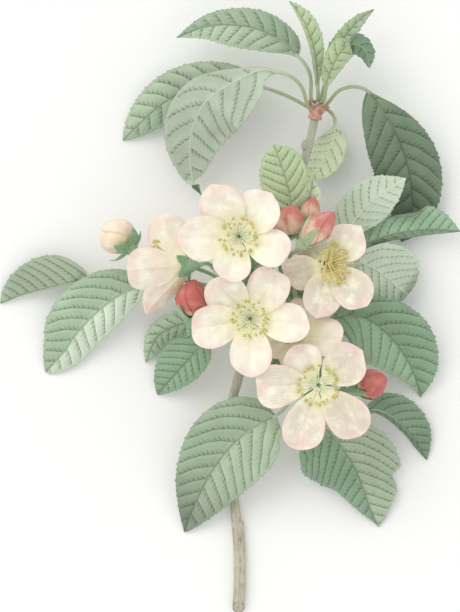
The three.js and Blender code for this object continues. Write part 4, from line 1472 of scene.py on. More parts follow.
@dataclass(frozen=True)
class Wood:
    """The cut end of the old wood, the shoot, its two spurs and a resting bud.

    Attributes:
        slant: How far the cut leans for each millimetre of height.
        bud: The middle of the resting bud.
        around: Corners in a ring of the old wood.
        nodes: The shares of the shoot's length at which leaves grew.
    """

    slant: float = 1.0
    bud: Point = (29.6, 64.4, 17.2)
    around: int = 40
    nodes: tuple[float, ...] = (0.09, 0.2, 0.33, 0.47, 0.68, 0.8, 0.9)

    CUT_RINGS = (0.02, 0.14, 0.15, 0.34, 0.55, 0.72, 0.84, 0.86, 0.97)
    OLD_RINGS = 64
    RING_SHARES = ((0, 1), (0.94, 1), (0.95, 1.07), (0.965, 1.04), (0.985, 1.09), (1, 0.86))
    SIDES = 28  # corners in a ring of the young wood
    SHOOT_RINGS = 220
    RIDGE = 0.008  # half the length of a node's ridge, as a share of the shoot
    SPUR_RINGS = 60
    SPUR_AGE = 0.35
    RESTING_BUD = (1.25, 2.3, 1.35)
    SHOOT_END = 1.62

    def _old(self) -> Skin:
        """The old wood, from its cut to the raised ring where last year's growth ended.

        Returns:
            The old wood.
        """
        route = LIMBS[Limb.OLD][0]
        shares = np.concatenate([[0] * len(self.CUT_RINGS), np.linspace(0, 1, self.OLD_RINGS)])
        shrink = np.concatenate([self.CUT_RINGS, np.ones(self.OLD_RINGS)])
        places, tangents, normals, across = route.frames(shares)
        angle = corners(self.around)
        stops, swells = zip(*self.RING_SHARES)
        swell = np.interp(shares, stops, swells)[:, None]
        wide_grain = 0.018 * np.sin(5 * angle + 9 * shares[:, None])
        grain = 1 + wide_grain + 0.01 * np.sin(11 * angle - 23 * shares[:, None])
        size = OLD_RADIUS * shrink[:, None] * grain
        wide, high = np.sin(angle) * size * swell, np.cos(angle) * size
        high = np.where(high > 0, high * swell, np.maximum(high, -OLD_HEIGHT))
        end = np.exp(-shares * 30)[:, None]
        points = places[:, None] + across[:, None] * wide[..., None]
        points += normals[:, None] * high[..., None]
        points += tangents[:, None] * (high * self.slant * end)[..., None]
        run = np.empty((*size.shape, 3))
        run[..., 0] = (shares * route.length)[:, None]
        run[..., 1] = angle / (2 * np.pi)
        run[..., 2] = size
        cut = np.zeros_like(run)
        cut[: len(self.CUT_RINGS), :, 0] = 1
        return ringed(points, {"run": run, "cut": cut})

    def _shoot(self) -> Skin:
        """The shoot, a little swollen at each node.

        Returns:
            The shoot.
        """
        at = np.linspace(0, 1, self.SHOOT_RINGS)
        ridges = sum(np.exp(-(((at - node) / self.RIDGE) ** 2)) for node in self.nodes)
        radius = girth(Limb.SHOOT, at) * (1 + 0.07 * ridges + 0.02 * np.sin(60 * at))
        skin = tube(LIMBS[Limb.SHOOT][0], at, radius, self.SIDES)
        cut = np.stack([0 * at, at, 0 * at], axis=1)
        skin.values["cut"] = cut.repeat(self.SIDES, axis=0)
        return skin

    def _aged(self, skin: Skin, age: float, kind: float = 0.0) -> Skin:
        """The same skin with its age, from 0 when old to 1 when young."""
        skin.values["cut"] = np.tile([0.0, age, kind], (len(skin.points), 1))
        return skin

    def _spur(self, limb: Limb, up: Point) -> list[Skin]:
        """A short ringed spur and its rounded end.

        Args:
            limb: Which spur.
            up: The direction that its first corners look in.

        Returns:
            Both.
        """
        at = np.linspace(0, 1, self.SPUR_RINGS)
        radius = girth(limb, at) * (1 + 0.035 * np.sin(46 * at))
        end, _ = LIMBS[limb][0].at(np.array([1.0]))
        stem = tube(LIMBS[limb][0], at, radius, self.SIDES, up)
        cap = ball(tuple(end[0]), (SPUR_RADIUS * 1.02,) * 3, self.SIDES)
        return [self._aged(skin, self.SPUR_AGE) for skin in (stem, cap)]

    def _bud(self) -> list[Skin]:
        """The resting bud and the bud-shaped end of the shoot.

        Returns:
            Both.
        """
        tip, _ = LIMBS[Limb.SHOOT][0].at(np.array([1.0]))
        resting = self._aged(ball(self.bud, self.RESTING_BUD, 20), 1, kind=1)
        end = ball(tuple(tip[0]), (self.SHOOT_END,) * 3, self.SIDES)
        return [resting, self._aged(end, 1)]

    def build(self, finishes: Finishes) -> Object:
        """Makes the wood, with lenticels grown over it.

        Args:
            finishes: The finishes of the branch.

        Returns:
            The piece.
        """
        skins = [
            self._old(), self._shoot(), *self._spur(Limb.LEFT_SPUR, (1, 0, 0)),
            *self._spur(Limb.RIGHT_SPUR, UP), *self._bud(),
        ]
        bare = mesh_of("wood", [skin.laid() for skin in skins], [finishes["bark"]])
        mesh = Scatter("lenticels", Sprout.SPECK).grown(
            bare, density=0.05, size=0.34, seed=4, finish=finishes["lenticel"]
        )
        return settle("wood", mesh)


@dataclass(frozen=True)
class BudScales:
    """The ring of red scales that the crown of leaves grew out of.

    Attributes:
        at: Where they stand, as a share of the shoot's length.
        inner: The collar's inner radius.
        outer: Its outer radius.
        length: Its height.
        outer_whorl: How high the outer scales reach.
        inner_whorl: How high the inner ones reach.
    """

    at: float = 0.965
    inner: float = 2.1
    outer: float = 2.8
    length: float = 1.1
    outer_whorl: tuple[float, ...] = (5.2, 4.2, 4.4, 4.6, 5.6)
    inner_whorl: tuple[float, ...] = (6.4, 5.8, 6.6, 5.6, 6.2)

    def _ring(self) -> Skin:
        """The collar that the scales stand on.

        Returns:
            The collar.
        """
        profile = (
            (self.inner, 0), (self.outer - 0.12, 0), (self.outer, 0.15),
            (self.outer + 0.1, self.length - 0.15), (self.outer, self.length),
            (self.inner + 0.1, self.length),
        )
        return lathe(profile, 40)

    def build(self, finishes: Finishes) -> Object:
        """Makes the scales.

        Args:
            finishes: The finishes of the branch.

        Returns:
            The piece.
        """
        skins = [self._ring()]
        count = len(self.outer_whorl)
        for i, reach in enumerate(self.outer_whorl + self.inner_whorl):
            ahead, flare = (0.75, 2.9) if i < count else (0.25, 1.7)
            azimuth = 360 * (i + ahead) / count
            rib = [
                polar(azimuth, self.outer - 0.65 + flare * s * s, 0.5 + reach * s)
                for s in (0, 0.35, 0.7, 1)
            ]
            blade = Blade(
                rib=rib, up=polar(azimuth, -1, 0), halves=(2.1, 2.1), fold=(18, 18),
                bend=(26, 26), base=(0.3, 0.3), point=(0.5, 0.5), stalk_radius=0.6, thick=0.45,
            )
            skins.append(small_sheet(blade, i))
        place, axis = LIMBS[Limb.SHOOT][0].at(np.array([self.at]))
        matrix = standing_at(place[0], axis[0])
        skins = [skin.moved(matrix) for skin in skins]
        mesh = mesh_of("bud_scales", skins, [finishes["bud_scale"]])
        return settle("bud_scales", mesh)


# ---- Blooms and buds ----


def polar(azimuth: float, radius: float, height: float) -> Point:
    """A point given by its angle, its radius and its height."""
    angle = math.radians(azimuth)
    return (math.cos(angle) * radius, math.sin(angle) * radius, height)


def arch(
    azimuth: float, start: float, height: float, length: float, rise: Rise, parts: int
) -> list[Point]:
    """The line of a petal or sepal that leaves a ring.

    Args:
        azimuth: The angle round the ring.
        start: The radius that it starts at.
        height: The height that it starts at.
        length: Its length.
        rise: How steeply it climbs at its start and at its end.
        parts: Steps along it.

    Returns:
        Its points.
    """
    radius, points = start, [polar(azimuth, start, height)]
    for i in range(parts):
        angle = math.radians(rise[0] + (rise[1] - rise[0]) * (i + 0.5) / parts)
        radius += math.cos(angle) * length / parts
        height += math.sin(angle) * length / parts
        points.append(polar(azimuth, radius, height))
    return points


def standing_at(place: Sequence[float], face: Sequence[float], turn: float = 0) -> Matrix:
    """Sets what stands on the origin on a place, with its face along `face`.

    Args:
        place: Where it goes.
        face: The direction it is turned to.
        turn: How far it is spun about that.

    Returns:
        The matrix.
    """
    tilt = Vector(UP).rotation_difference(Vector(face).normalized())
    spin = Matrix.Rotation(math.radians(turn), 4, "Z")
    return Matrix.Translation(Vector(place)) @ tilt.to_matrix().to_4x4() @ spin


def lathe(profile: Sequence[tuple[float, float]], sides: int) -> Skin:
    """A ring turned about the Z axis from the radii and heights of its outline.

    Args:
        profile: The outline, closed by its first point.
        sides: Steps round the axis.

    Returns:
        The ring.
    """
    radii, heights = (np.array(column, float) for column in zip(*profile))
    rings = about_z(corners(sides)[:, None], radii, heights)
    faces = grid_faces(sides, len(radii), wrap=True, close=True)
    return Skin(rings.reshape(-1, 3), faces).outward()


def small_sheet(blade: Blade, seed: float, lift: float = 0.05) -> Skin:
    """A small plain blade, such as a sepal or a scale.

    Args:
        blade: Its form.
        seed: A number of its own.
        lift: How far its margin waves, in millimetres.

    Returns:
        The plate. It carries `place`: the distance from its rib, the distance to its margin, and
        how far along it is.
    """
    t = np.linspace(0, 1, SMALL_ROWS) ** 0.9 * 0.99
    spots = blade.spots(t, columns_to_margin(5))
    wave = lift * spots.width * spots.c**2 * np.sin(9 * spots.t + seed)
    none = np.zeros_like(wave)
    sheet, _ = blade.sheet(spots, Relief(wave, none, none))
    place = [twice(spots.reach), twice(spots.rim), twice(spots.t)]
    sheet.values = {"place": np.stack(place, axis=1)}
    return sheet


@dataclass(frozen=True)
class Sepal:
    """A cup's sepals: their length, how steeply they climb and half their width."""

    length: float = 6.5
    rise: Rise = (-4, -48)
    half: float = 1.7


@dataclass(frozen=True)
class Petal:
    """One petal: its angle, length, half width, painted shade and cusp, its lean and its turn."""

    azimuth: float
    length: float
    half: float
    shade: float = 0
    cusp: float = 0
    rise: Rise = (24, 4)
    roll: float = 0


@dataclass(frozen=True)
class Threads:
    """A bloom's stamens: how they lean, outer and inner, how long and how many they are."""

    rise: Rise = (34, 62)
    length: tuple[float, float] = (6.2, 8)
    count: int = 36
    thick: float = 0.19


@dataclass(frozen=True)
class Flower:
    """What blooms and buds share: the stalk, the green cup and its five sepals.

    Attributes:
        name: What the names of its solids begin with.
        limb: What its stalk grows from.
        stalk: The points of the stalk.
        at: The middle of the cup's mouth.
        face: Where it looks.
        turn: How far it is turned about that.
        sepal: Its sepals.
        silvery: Whether its sepals are downy and pale.
    """

    name: str
    limb: Limb
    stalk: Sequence[Point]
    at: Point
    face: Point
    _: KW_ONLY
    turn: float = 0
    sepal: Sepal = Sepal()
    silvery: bool = False

    CUP = ((-1, 0.29), (-0.86, 0.42), (-0.65, 0.66), (-0.4, 0.88), (-0.15, 1), (0, 0.98))

    @property
    def matrix(self) -> Matrix:
        """Sets a bloom or bud that is made on the origin in its place."""
        return standing_at(self.at, self.face, self.turn)

    @property
    def seed(self) -> int:
        """The number that goes with its name."""
        return own_number(self.name)

    def _cup(self) -> Skin:
        """The green cup, faintly five-sided.

        Returns:
            The cup.
        """
        heights, radii = zip(*self.CUP)
        fine = np.linspace(-1, 0, 16)[:, None]
        size = np.interp(fine, heights, radii) * CUP_RADIUS
        angle = corners(40)
        ribbed = size * (0.97 + 0.03 * np.cos(5 * (angle - math.radians(7))))
        rings = about_z(angle, ribbed, fine * CUP_LENGTH)
        place = np.stack([ribbed, 0 * ribbed + 2, 0 * ribbed + fine * 0.2], axis=-1)
        return ringed(rings, {"place": place})

    def _sepals(self) -> list[Skin]:
        """The five sepals.

        Returns:
            One skin for each.
        """
        skins = []
        for n in range(5):
            sepal, start = self.sepal, CUP_RADIUS - 0.9
            blade = Blade(
                rib=arch(72 * (n + 1.1), start, -0.85, sepal.length, sepal.rise, 3),
                halves=(sepal.half,) * 2, fold=(10, 10), bend=(12, 12), base=(0.3, 0.3),
                point=(0.85, 0.85), stalk_radius=0.45, thick=0.36, roll=8 if n % 2 else -8,
            )
            skins.append(small_sheet(blade, self.seed + n, 0.08))
        return skins

    def _stalk(self) -> Skin:
        """The stalk, from the wood to the cup.

        Returns:
            The stalk.
        """
        heights = (-CUP_LENGTH, -CUP_LENGTH - 4)
        base, below = (tuple(self.matrix @ Vector((0, 0, height))) for height in heights)
        route = Route([seat_on(self.limb, self.stalk[0]), *self.stalk, below, base])
        _, middle = route.at(np.array([0.5]))
        up = (1, 0, 0) if abs(middle[0, 2]) > 0.8 else UP
        shares = np.linspace(0, 1, 30)
        skin = tube(route, shares, PEDICEL_RADIUS * (0.96 + 0.1 * shares**6), 12, up)
        run = skin.values.pop("run")
        skin.values["place"] = np.stack([run[:, 2], 0 * run[:, 2] + 2, -run[:, 0] / 20], axis=1)
        return skin

    def cup_piece(self, finishes: Finishes) -> Object:
        """Makes the stalk, the cup and the sepals, with their down.

        Args:
            finishes: The finishes of the branch.

        Returns:
            The piece.
        """
        skins = [self._cup(), *self._sepals()]
        skins = [self._stalk(), *(skin.moved(self.matrix) for skin in skins)]
        name = f"{self.name}_cup"
        coat = "silvery_calyx" if self.silvery else "calyx"
        bare = mesh_of(name, skins, [finishes[coat]])
        mesh = Scatter("down", Sprout.HAIR).grown(
            bare, density=1.1, size=0.95, seed=self.seed, finish=finishes["down"]
        )
        return settle(name, mesh)


@dataclass(frozen=True)
class Bloom(Flower):
    """An open bloom.

    Attributes:
        petals: Its five petals.
        threads: Its stamens.
        aim: Where they point, if not straight out of the bloom.
        golden: Whether they stand close in a yellow cone.
        claw: How slowly its petals widen.
    """

    _: KW_ONLY
    petals: tuple[Petal, ...] = ()
    threads: Threads = Threads()
    aim: Point | None = None
    golden: bool = False
    claw: float = 0.82

    RUFFLE = 0.3
    NOTCH = 0.35
    CUSP = 1.3
    PINWHEEL = -6.5  # each petal's one edge lies over its neighbour
    ROWS = 46
    LAST_ROW = 0.9985
    COLUMNS = 15  # in each half

    def _relief(self, spots: Spots, seed: float, cusp: float) -> Relief:
        """A petal's ruffled margin, its folds and the notch or point of its tip.

        Args:
            spots: Where the corners lie.
            seed: A number of its own.
            cusp: How pointed its tip is, from 0 to 1.

        Returns:
            What is added to the plain petal.
        """
        half = np.where(spots.c < 0, 0, 0.3)
        aside = spots.c * spots.width / np.max(spots.width)
        slow = 0.5 * spots.c**2 * np.sin(2 * np.pi * (1.5 * spots.t + half)) * (1 - spots.t)
        edge = np.clip(np.abs(spots.c) ** 3 + smooth(spots.t, 0.8, 1), 0, 1)
        quick = np.sin(9 * spots.t + 4 * aside + seed)
        quick = quick + 0.5 * np.sin(17 * spots.t - 6 * aside + 2 * seed)
        middle = smooth(spots.t, 0.1, 0.4) * (1 - smooth(spots.t, 0.75, 1))
        folds = 0.16 * np.cos(7 * spots.c + seed) - 0.3 * np.exp(-((spots.c / 0.1) ** 2))
        lift = slow + self.RUFFLE * edge * quick + folds * middle
        tip = smooth(spots.t, 0.88, 1)
        notch = np.exp(-(((aside - 0.1 * math.sin(seed)) / 0.25) ** 2)) * tip
        lobes = 0.5 * np.sin(3 * aside + seed) * smooth(spots.t, 0.75, 1)
        dent = self.NOTCH * math.sin(2.3 * seed) * (1 - cusp)
        slide = lobes * (1 - cusp / 2) - dent * notch
        slide += self.CUSP * cusp * np.exp(-np.abs(aside) / 0.25) * tip
        return Relief(lift, np.zeros_like(lift), slide)

    def _petal(self, petal: Petal, seed: float) -> Skin:
        """One petal, made on the origin.

        Args:
            petal: Its measures.
            seed: A number of its own.

        Returns:
            The petal.
        """
        start = EYE["outer"] - 0.7
        blade = Blade(
            rib=arch(petal.azimuth, start, 0.75, petal.length - start, petal.rise, 4),
            halves=(petal.half * 1.02,) * 2, fold=(10, 10), bend=(14, 14),
            roll=petal.roll + self.PINWHEEL, base=(self.claw,) * 2,
            point=(0.46 + 0.16 * petal.cusp,) * 2, stalk_radius=0.5, thick=PETAL_THICK,
        )
        t = 1 - (1 - np.linspace(0, 1, self.ROWS)) ** 1.6
        spots = blade.spots(np.clip(t, 0, self.LAST_ROW), columns_to_margin(self.COLUMNS, 1.35))
        sheet, upper = blade.sheet(spots, self._relief(spots, seed, petal.cusp))
        end = (1 - spots.t) * spots.length
        rim = twice(np.minimum(spots.rim, end))
        sheet.values = {
            "petal": np.stack([twice(spots.c), twice(spots.t), np.full(len(upper), seed)], axis=1),
            # the third number is how much painted shade the petal takes
            "edge": np.stack([rim, upper, np.full(len(upper), petal.shade)], axis=1),
        }
        return sheet

    def petals_piece(self, finishes: Finishes) -> Object:
        """Makes the five petals and the ring that joins their claws.

        Args:
            finishes: The finishes of the branch.

        Returns:
            The piece.
        """
        inner, outer, low, high = EYE.values()
        skins = [lathe(((inner, low), (outer, low), (outer, high), (inner, high)), 40)]
        skins += [self._petal(petal, self.seed + 1.7 * i) for i, petal in enumerate(self.petals)]
        name = f"{self.name}_petals"
        mesh = mesh_of(name, [skin.moved(self.matrix) for skin in skins], [finishes["petal"]])
        return settle(name, mesh)

    def stamens_piece(self, finishes: Finishes) -> Object:
        """Makes the stamens, the disc and the styles.

        Args:
            finishes: The finishes of the branch.

        Returns:
            The piece.
        """
        finish = finishes["golden_stamen" if self.golden else "stamen"]
        mesh = StamenTree().grown(self.threads, self.seed, finish)
        place = standing_at(self.at, self.aim or self.face, self.turn)
        place.translation *= MM
        mesh.transform(place)
        return settle(f"{self.name}_stamens", mesh)


@dataclass(frozen=True)
class Bud(Flower):
    """A closed bud: five petals wound over each other.

    Attributes:
        radius: Its greatest radius.
        length: From its foot to its tip.
        pale: Whether it is near opening and cream instead of red.
        blushing: Whether only its upper part is red.
    """

    _: KW_ONLY
    radius: float = 6
    length: float = 13
    pale: bool = False
    blushing: bool = False

    PETAL_COLUMNS = 18
    ROWS = 44
    TWIST = 1.1
    STEP = 0.11

    def _petals(self) -> Skin:
        """The wound petals.

        Returns:
            All of them, as one skin.
        """
        h = np.linspace(0, 1, self.ROWS)[:, None]
        count = 5 * self.PETAL_COLUMNS
        within = (np.arange(count) % self.PETAL_COLUMNS + 0.5) / self.PETAL_COLUMNS
        share = np.arange(count)[None] / count - self.TWIST * h / 5
        round_ = np.sin(np.pi * np.clip(h, 0, 1) ** 0.84) ** 0.66
        foot = 1.3 / self.radius * (1 - smooth(h, 0, 0.09))
        tip = 0.5 / self.radius * smooth(h, 0.9, 1)
        girth = self.radius * np.maximum(round_, np.maximum(foot, tip))
        step = within**1.3 * self.STEP - self.STEP / 2
        lobes = 0.012 * np.sin(2 * np.pi * 3 * share + 4 * h + self.seed)
        size = girth * (1 + step + lobes)
        angle = 2 * np.pi * share
        rings = about_z(angle, size, SEAT_GAP + h * self.length)
        values = np.broadcast_arrays(within[None], h, float(self.seed % 97))
        return ringed(rings, {"bud": np.stack(values, axis=-1)})

    def petals_piece(self, finishes: Finishes) -> Object:
        """Makes the wound petals.

        Args:
            finishes: The finishes of the branch.

        Returns:
            The piece.
        """
        slot = "pale_bud" if self.pale else "bud"
        coat = "blushing_bud" if self.blushing else slot
        name = f"{self.name}_petals"
        mesh = mesh_of(name, [self._petals().moved(self.matrix)], [finishes[coat]])
        return settle(name, mesh)


# ---- Finishes ----


FULL_TURN = 6.2832
SKIN_DEPTH = 0.0015  # how far light spreads in a petal, in metres


@dataclass(frozen=True)
class LeafFinish:
    """The skin of a leaf, with its net of veins, and painted shade and highlight beside the side
    veins.

    Attributes:
        name: The material's name.
        gloss: Its roughness.
        bright: How light the upper side is against its tone.
        tick_every: The spacing of the small cross veins, drawn as painted shade hatching, in
            millimetres.
        vein: How dark the veins are on the upper side.
    """

    name: str
    gloss: float = 0.56
    bright: float = 1.0
    tick_every: float = 1.8
    vein: float = 0.3

    SLOPE = 0.8  # of the distance across a side vein to the distance along the midrib

    def build(self) -> Material:
        """Builds the node tree.

        Returns:
            The material.
        """
        shader = Shader(self.name)
        number, run, spacing = shader.parts("veins")
        reach, rim, side = shader.parts("place")
        wobble = (shader.noise(5.0, 1) - 0.5) * 0.2
        place = (number + wobble + 0.5).fract() - 0.5
        beside = place * spacing * self.SLOPE
        across, share = abs(beside), abs(place)
        inner = rim.step(0.2, 1.2) * reach.step(0.1, 0.6)
        # the flank of each side vein that takes painted shade, picked by the sign of the spacing
        shaded = beside.step(-0.1, 0.16)
        drift = (shader.noise(2.6, 2) - 0.5) * 1.1
        comb = abs(((run - across * 0.7) / self.tick_every + drift).fract() - 0.5) + share * 0.36
        # the small cross veins, drawn only on that flank: partly vein, partly painted shade
        # hatching
        painted_shade_ticks = comb.step(0.1, 0.24, 1, 0) * share.step(0.26, 0.5, 1, 0) * shaded * inner
        painted_shade_ticks = painted_shade_ticks * shader.noise(3.0, 1).step(0.22, 0.42)
        lines = across.step(0.04, 0.26, 1, 0) * rim.step(0.2, 1.4)
        lines = lines.most(reach.step(0.1, 0.4, 1, 0))
        # painted shade on that flank of each side vein, and a painted highlight on the other
        painted_shade_flank = share.step(0.0, 0.4, 1, 0) * shaded * inner
        painted_highlight_flank = share.step(0.03, 0.4, 1, 0) * (1 - shaded) * inner
        above = 1 - (lines * self.vein).most(painted_shade_ticks * self.vein * 1.5)
        above = above * (1 - painted_shade_flank * 0.17) * (1 + painted_highlight_flank * 0.12)
        # the underside: pale veins between painted shade hatching and painted shade
        below = (1 + lines * 0.4 - painted_shade_ticks * (1 - lines) * 0.46) * (1 - painted_shade_flank * 0.3 * (1 - lines))
        veined = below + (above - below) * side
        stipple = (shader.noise(0.55, 3) - 0.5) * 0.3
        blotch = (shader.noise(9, 3) - 0.5) * 0.34
        shade = veined * (1 - 0.16 * rim.step(0.05, 0.34, 1, 0)) * (1 + stipple + blotch)
        tint = shader.layer("tint").outputs["Color"]
        warm = shader.mix(shader.noise(12, 2).step(0.5, 0.8) * 0.16, tint, (172, 184, 140))
        relief = (painted_shade_ticks * 0.3 + lines) * (1 - side * 2) + stipple * 0.6
        return shader.finish(
            Base_Color=shader.scaled(warm, shade * self.bright),
            Roughness=self.gloss + (shader.noise(3, 2) - 0.5) * 0.16,
            Normal=shader.bump(relief, 0.2, 0.9),
            Sheen_Weight=0.12,
            Sheen_Roughness=0.5,
        )


@dataclass(frozen=True)
class StemFinish:
    """Green stalks, cups and sepals.

    Attributes:
        name: The material's name.
        green: Their colour, or none where the corners carry it.
        blush: The colour of the side that has seen the sun.
        blushed: How much of the surface is blushed.
    """

    name: str
    green: Colour | None
    blush: Colour
    blushed: float = 0.4

    def build(self) -> Material:
        """Builds the node tree.

        Returns:
            The material.
        """
        shader = Shader(self.name)
        green = self.green or shader.layer("tint").outputs["Color"]
        patches = shader.noise(6, 2).step(0.62 - self.blushed * 0.4, 0.8 - self.blushed * 0.2)
        colour = shader.mix(patches * self.blushed, green, self.blush)
        fine = shader.noise(0.7, 3)
        colour = shader.scaled(colour, 0.84 + fine * 0.32)
        return shader.finish(
            Base_Color=colour,
            Roughness=0.55 + (fine - 0.5) * 0.2,
            Normal=shader.bump(fine, 0.09, 0.7),
            Sheen_Weight=0.2,
        )


@dataclass(frozen=True)
class PetalFinish:
    """A cream petal with fanning veins, a yellow claw, a soft pink blush at its margin and grey
    painted shade.
    """

    name: str = "petal"
    cream: Colour = (252, 246, 227)
    shade: Colour = (243, 233, 214)
    painted_shade: Colour = (216, 203, 184)
    warm: Colour = (253, 246, 210)
    claw: Colour = (240, 238, 190)
    pink: Colour = (246, 206, 196)
    veins: float = 9

    def build(self) -> Material:
        """Builds the node tree.

        Returns:
            The material.
        """
        shader = Shader(self.name)
        across, along_, seed = shader.parts("petal")
        rim, side, painted_shade = shader.parts("edge")
        cloud = shader.noise(4.6, 2)
        colour = shader.mix(along_.step(0.2, 0.75, 0.8, 0), self.cream, self.warm)
        colour = shader.mix(cloud.step(0.5, 0.76) * 0.4, colour, self.shade)
        # painted shade: grey patches on shaded petals, whose veins are also drawn darker
        painted_shade_veil = (cloud + painted_shade * 0.2).step(0.42, 0.66) * painted_shade * along_.step(0.1, 0.4)
        colour = shader.mix(painted_shade_veil * 0.8, colour, self.painted_shade)
        wander = (shader.noise(3.4, 2) - 0.5) * 0.6
        fan = abs((across * self.veins + wander + seed).fract() - 0.5).step(0.05, 0.3, 1, 0)
        patch = (shader.noise(4, 1) + painted_shade * 0.12).step(0.46, 0.62) * rim.step(0.4, 2.0)
        patch = patch * along_.step(0.1, 0.35) * (0.7 + painted_shade * 0.6)
        middle = abs(across + wander * 0.06).step(0.0, 0.035, 1, 0) * along_.step(0.85, 0.5)
        lines = (fan * patch).most(middle * 0.8)
        grain = shader.noise(0.5, 2)
        colour = shader.scaled(colour, 1.02 - lines * (0.1 + painted_shade * 0.08) - (grain - 0.5) * 0.06)
        colour = shader.mix(along_.step(0.02, 0.22, 0.9, 0), colour, self.claw)
        patchy = shader.noise(7, 2).step(0.36, 0.66)
        edge = rim.step(0.1, 2.6, 1, 0) * (0.2 + patchy * 0.6) * along_.step(0.3, 0.6)
        tip = along_.step(0.62, 1.0) * (0.15 + patchy * 0.6)
        back = (1 - side) * 0.3 * patchy
        colour = shader.mix(edge.most(tip).most(back), colour, self.pink)
        return shader.finish(
            Base_Color=colour,
            Roughness=0.6 + (cloud - 0.5) * 0.16,
            Normal=shader.bump(grain * 0.5 - lines, 0.12, 0.6),
            Specular_IOR_Level=0.25,
            Subsurface_Weight=0.12,
            Subsurface_Radius=(1.0, 0.75, 0.55),
            Subsurface_Scale=SKIN_DEPTH,
            Sheen_Weight=0.1,
        )


@dataclass(frozen=True)
class BudFinish:
    """A wound bud, flushed towards its outer petals' edges.

    Attributes:
        name: The material's name.
        flush: The colour of the flushed skin.
        light: The colour of the skin between.
        deep: The colour at the petals' edges.
        flushed: How much of the bud is flushed, from 0 to 1.
        foot: The colour at its foot.
        climb: How much more flushed its tip is.
    """

    name: str
    flush: Colour
    light: Colour
    deep: Colour
    flushed: float
    foot: Colour = (240, 226, 190)
    climb: float = 0.18

    def build(self) -> Material:
        """Builds the node tree.

        Returns:
            The material.
        """
        shader = Shader(self.name)
        within, height, seed = shader.parts("bud")
        cloud = shader.noise(5, 3)
        open_ = 0.62 - self.flushed * 0.5
        share = (cloud + (height - 0.5) * self.climb).step(open_ - 0.1, open_ + 0.4)
        colour = shader.mix(share, self.light, self.flush)
        place = within * 9 + (shader.noise(4, 2) - 0.5) * 0.8
        streak = abs(place.fract() - 0.5).step(0.04, 0.26, 1, 0)
        colour = shader.mix(streak * 0.28, colour, self.deep)
        edge = within.step(0.86, 0.98) + within.step(0.0, 0.05, 1, 0) * 0.8
        colour = shader.mix(edge * 0.55, colour, self.deep)
        colour = shader.mix(height.step(0.08, 0.3, 0.75, 0), colour, self.foot)
        colour = shader.scaled(colour, 0.93 + shader.noise(0.7, 2) * 0.14)
        return shader.finish(
            Base_Color=colour,
            Roughness=0.56 + (cloud - 0.5) * 0.12,
            Normal=shader.bump(streak * -0.7 + shader.noise(0.9, 2) * 0.5, 0.12, 0.6),
            Specular_IOR_Level=0.28,
            Subsurface_Weight=0.08,
            Subsurface_Radius=(1.0, 0.6, 0.45),
            Subsurface_Scale=SKIN_DEPTH,
            Sheen_Weight=0.12,
        )


@dataclass(frozen=True)
class StamenFinish:
    """Pale threads, dusty anthers, a yellow disc and green styles."""

    name: str = "stamen"
    thread: Colour = (252, 250, 226)
    anther: Colour = (236, 230, 144)
    dust: Colour = (172, 164, 84)
    disc: Colour = (188, 206, 150)
    style: Colour = (138, 164, 118)

    def build(self) -> Material:
        """Builds the node tree.

        Returns:
            The material.
        """
        shader = Shader(self.name)
        part = Value(shader, shader.layer("part").outputs["Fac"])
        grain = shader.noise(0.45, 2)
        anther = shader.mix(grain.step(0.36, 0.62), self.anther, self.dust)
        colour = shader.mix(part.step(0.4, 0.6), self.thread, anther)
        colour = shader.mix(part.step(1.4, 1.6), colour, self.disc)
        colour = shader.mix(part.step(2.4, 2.6), colour, self.style)
        colour = shader.scaled(colour, 0.85 + shader.noise(1.5, 2) * 0.3)
        return shader.finish(
            Base_Color=colour,
            Roughness=0.62 + (grain - 0.5) * 0.2,
            Normal=shader.bump(grain, 0.1, 0.8),
        )


@dataclass(frozen=True)
class BarkFinish:
    """Bark that is grey and furrowed when old, smooth and pale when young, and a cut end."""

    name: str = "bark"
    old: Colour = (196, 190, 170)
    young: Colour = (178, 180, 162)
    furrow: Colour = (134, 126, 108)
    flush: Colour = (176, 168, 146)
    sapwood: Colour = (198, 192, 166)
    heartwood: Colour = (148, 140, 114)

    def build(self) -> Material:
        """Builds the node tree.

        Returns:
            The material.
        """
        shader = Shader(self.name)
        run, round_, radius = shader.parts("run")
        cut, age, _ = shader.parts("cut")
        along_ = run * 0.22
        beside = (round_ * FULL_TURN).sine() * 2.6
        streaks = shader.noise(
            0.9, 4, shader.vector(along_, beside, (round_ * FULL_TURN).cosine() * 2.6)
        )
        rings_ = shader.noise(1.2, 2, shader.vector(run * 1.6, round_ * 0.6))
        base = shader.mix(age.step(0.0, 0.6), self.old, self.young)
        base = shader.mix(shader.noise(6, 3).step(0.46, 0.74) * 0.7, base, self.flush)
        base = shader.mix(streaks.step(0.5, 0.68) * (0.8 - age * 0.3), base, self.furrow)
        base = shader.scaled(base, 0.82 + streaks * 0.26 + rings_ * 0.14)
        rings = abs((radius * 2.6 + shader.noise(2, 1) * 0.3).fract() - 0.5).step(0.0, 0.3, 1, 0)
        face = shader.mix(rings * 0.55, self.sapwood, self.heartwood)
        face = shader.mix(radius.step(0.1, 0.42, 0.8, 0), face, self.heartwood)
        face = shader.mix(radius.step(2.0, 2.12), face, self.furrow)
        colour = shader.mix(cut.step(0.4, 0.9), base, face)
        relief = streaks * (1.2 - age * 0.5) + rings_ * 0.5
        return shader.finish(
            Base_Color=colour,
            Roughness=0.68 + (streaks - 0.5) * 0.2,
            Normal=shader.bump(relief, 0.28, 0.8),
        )


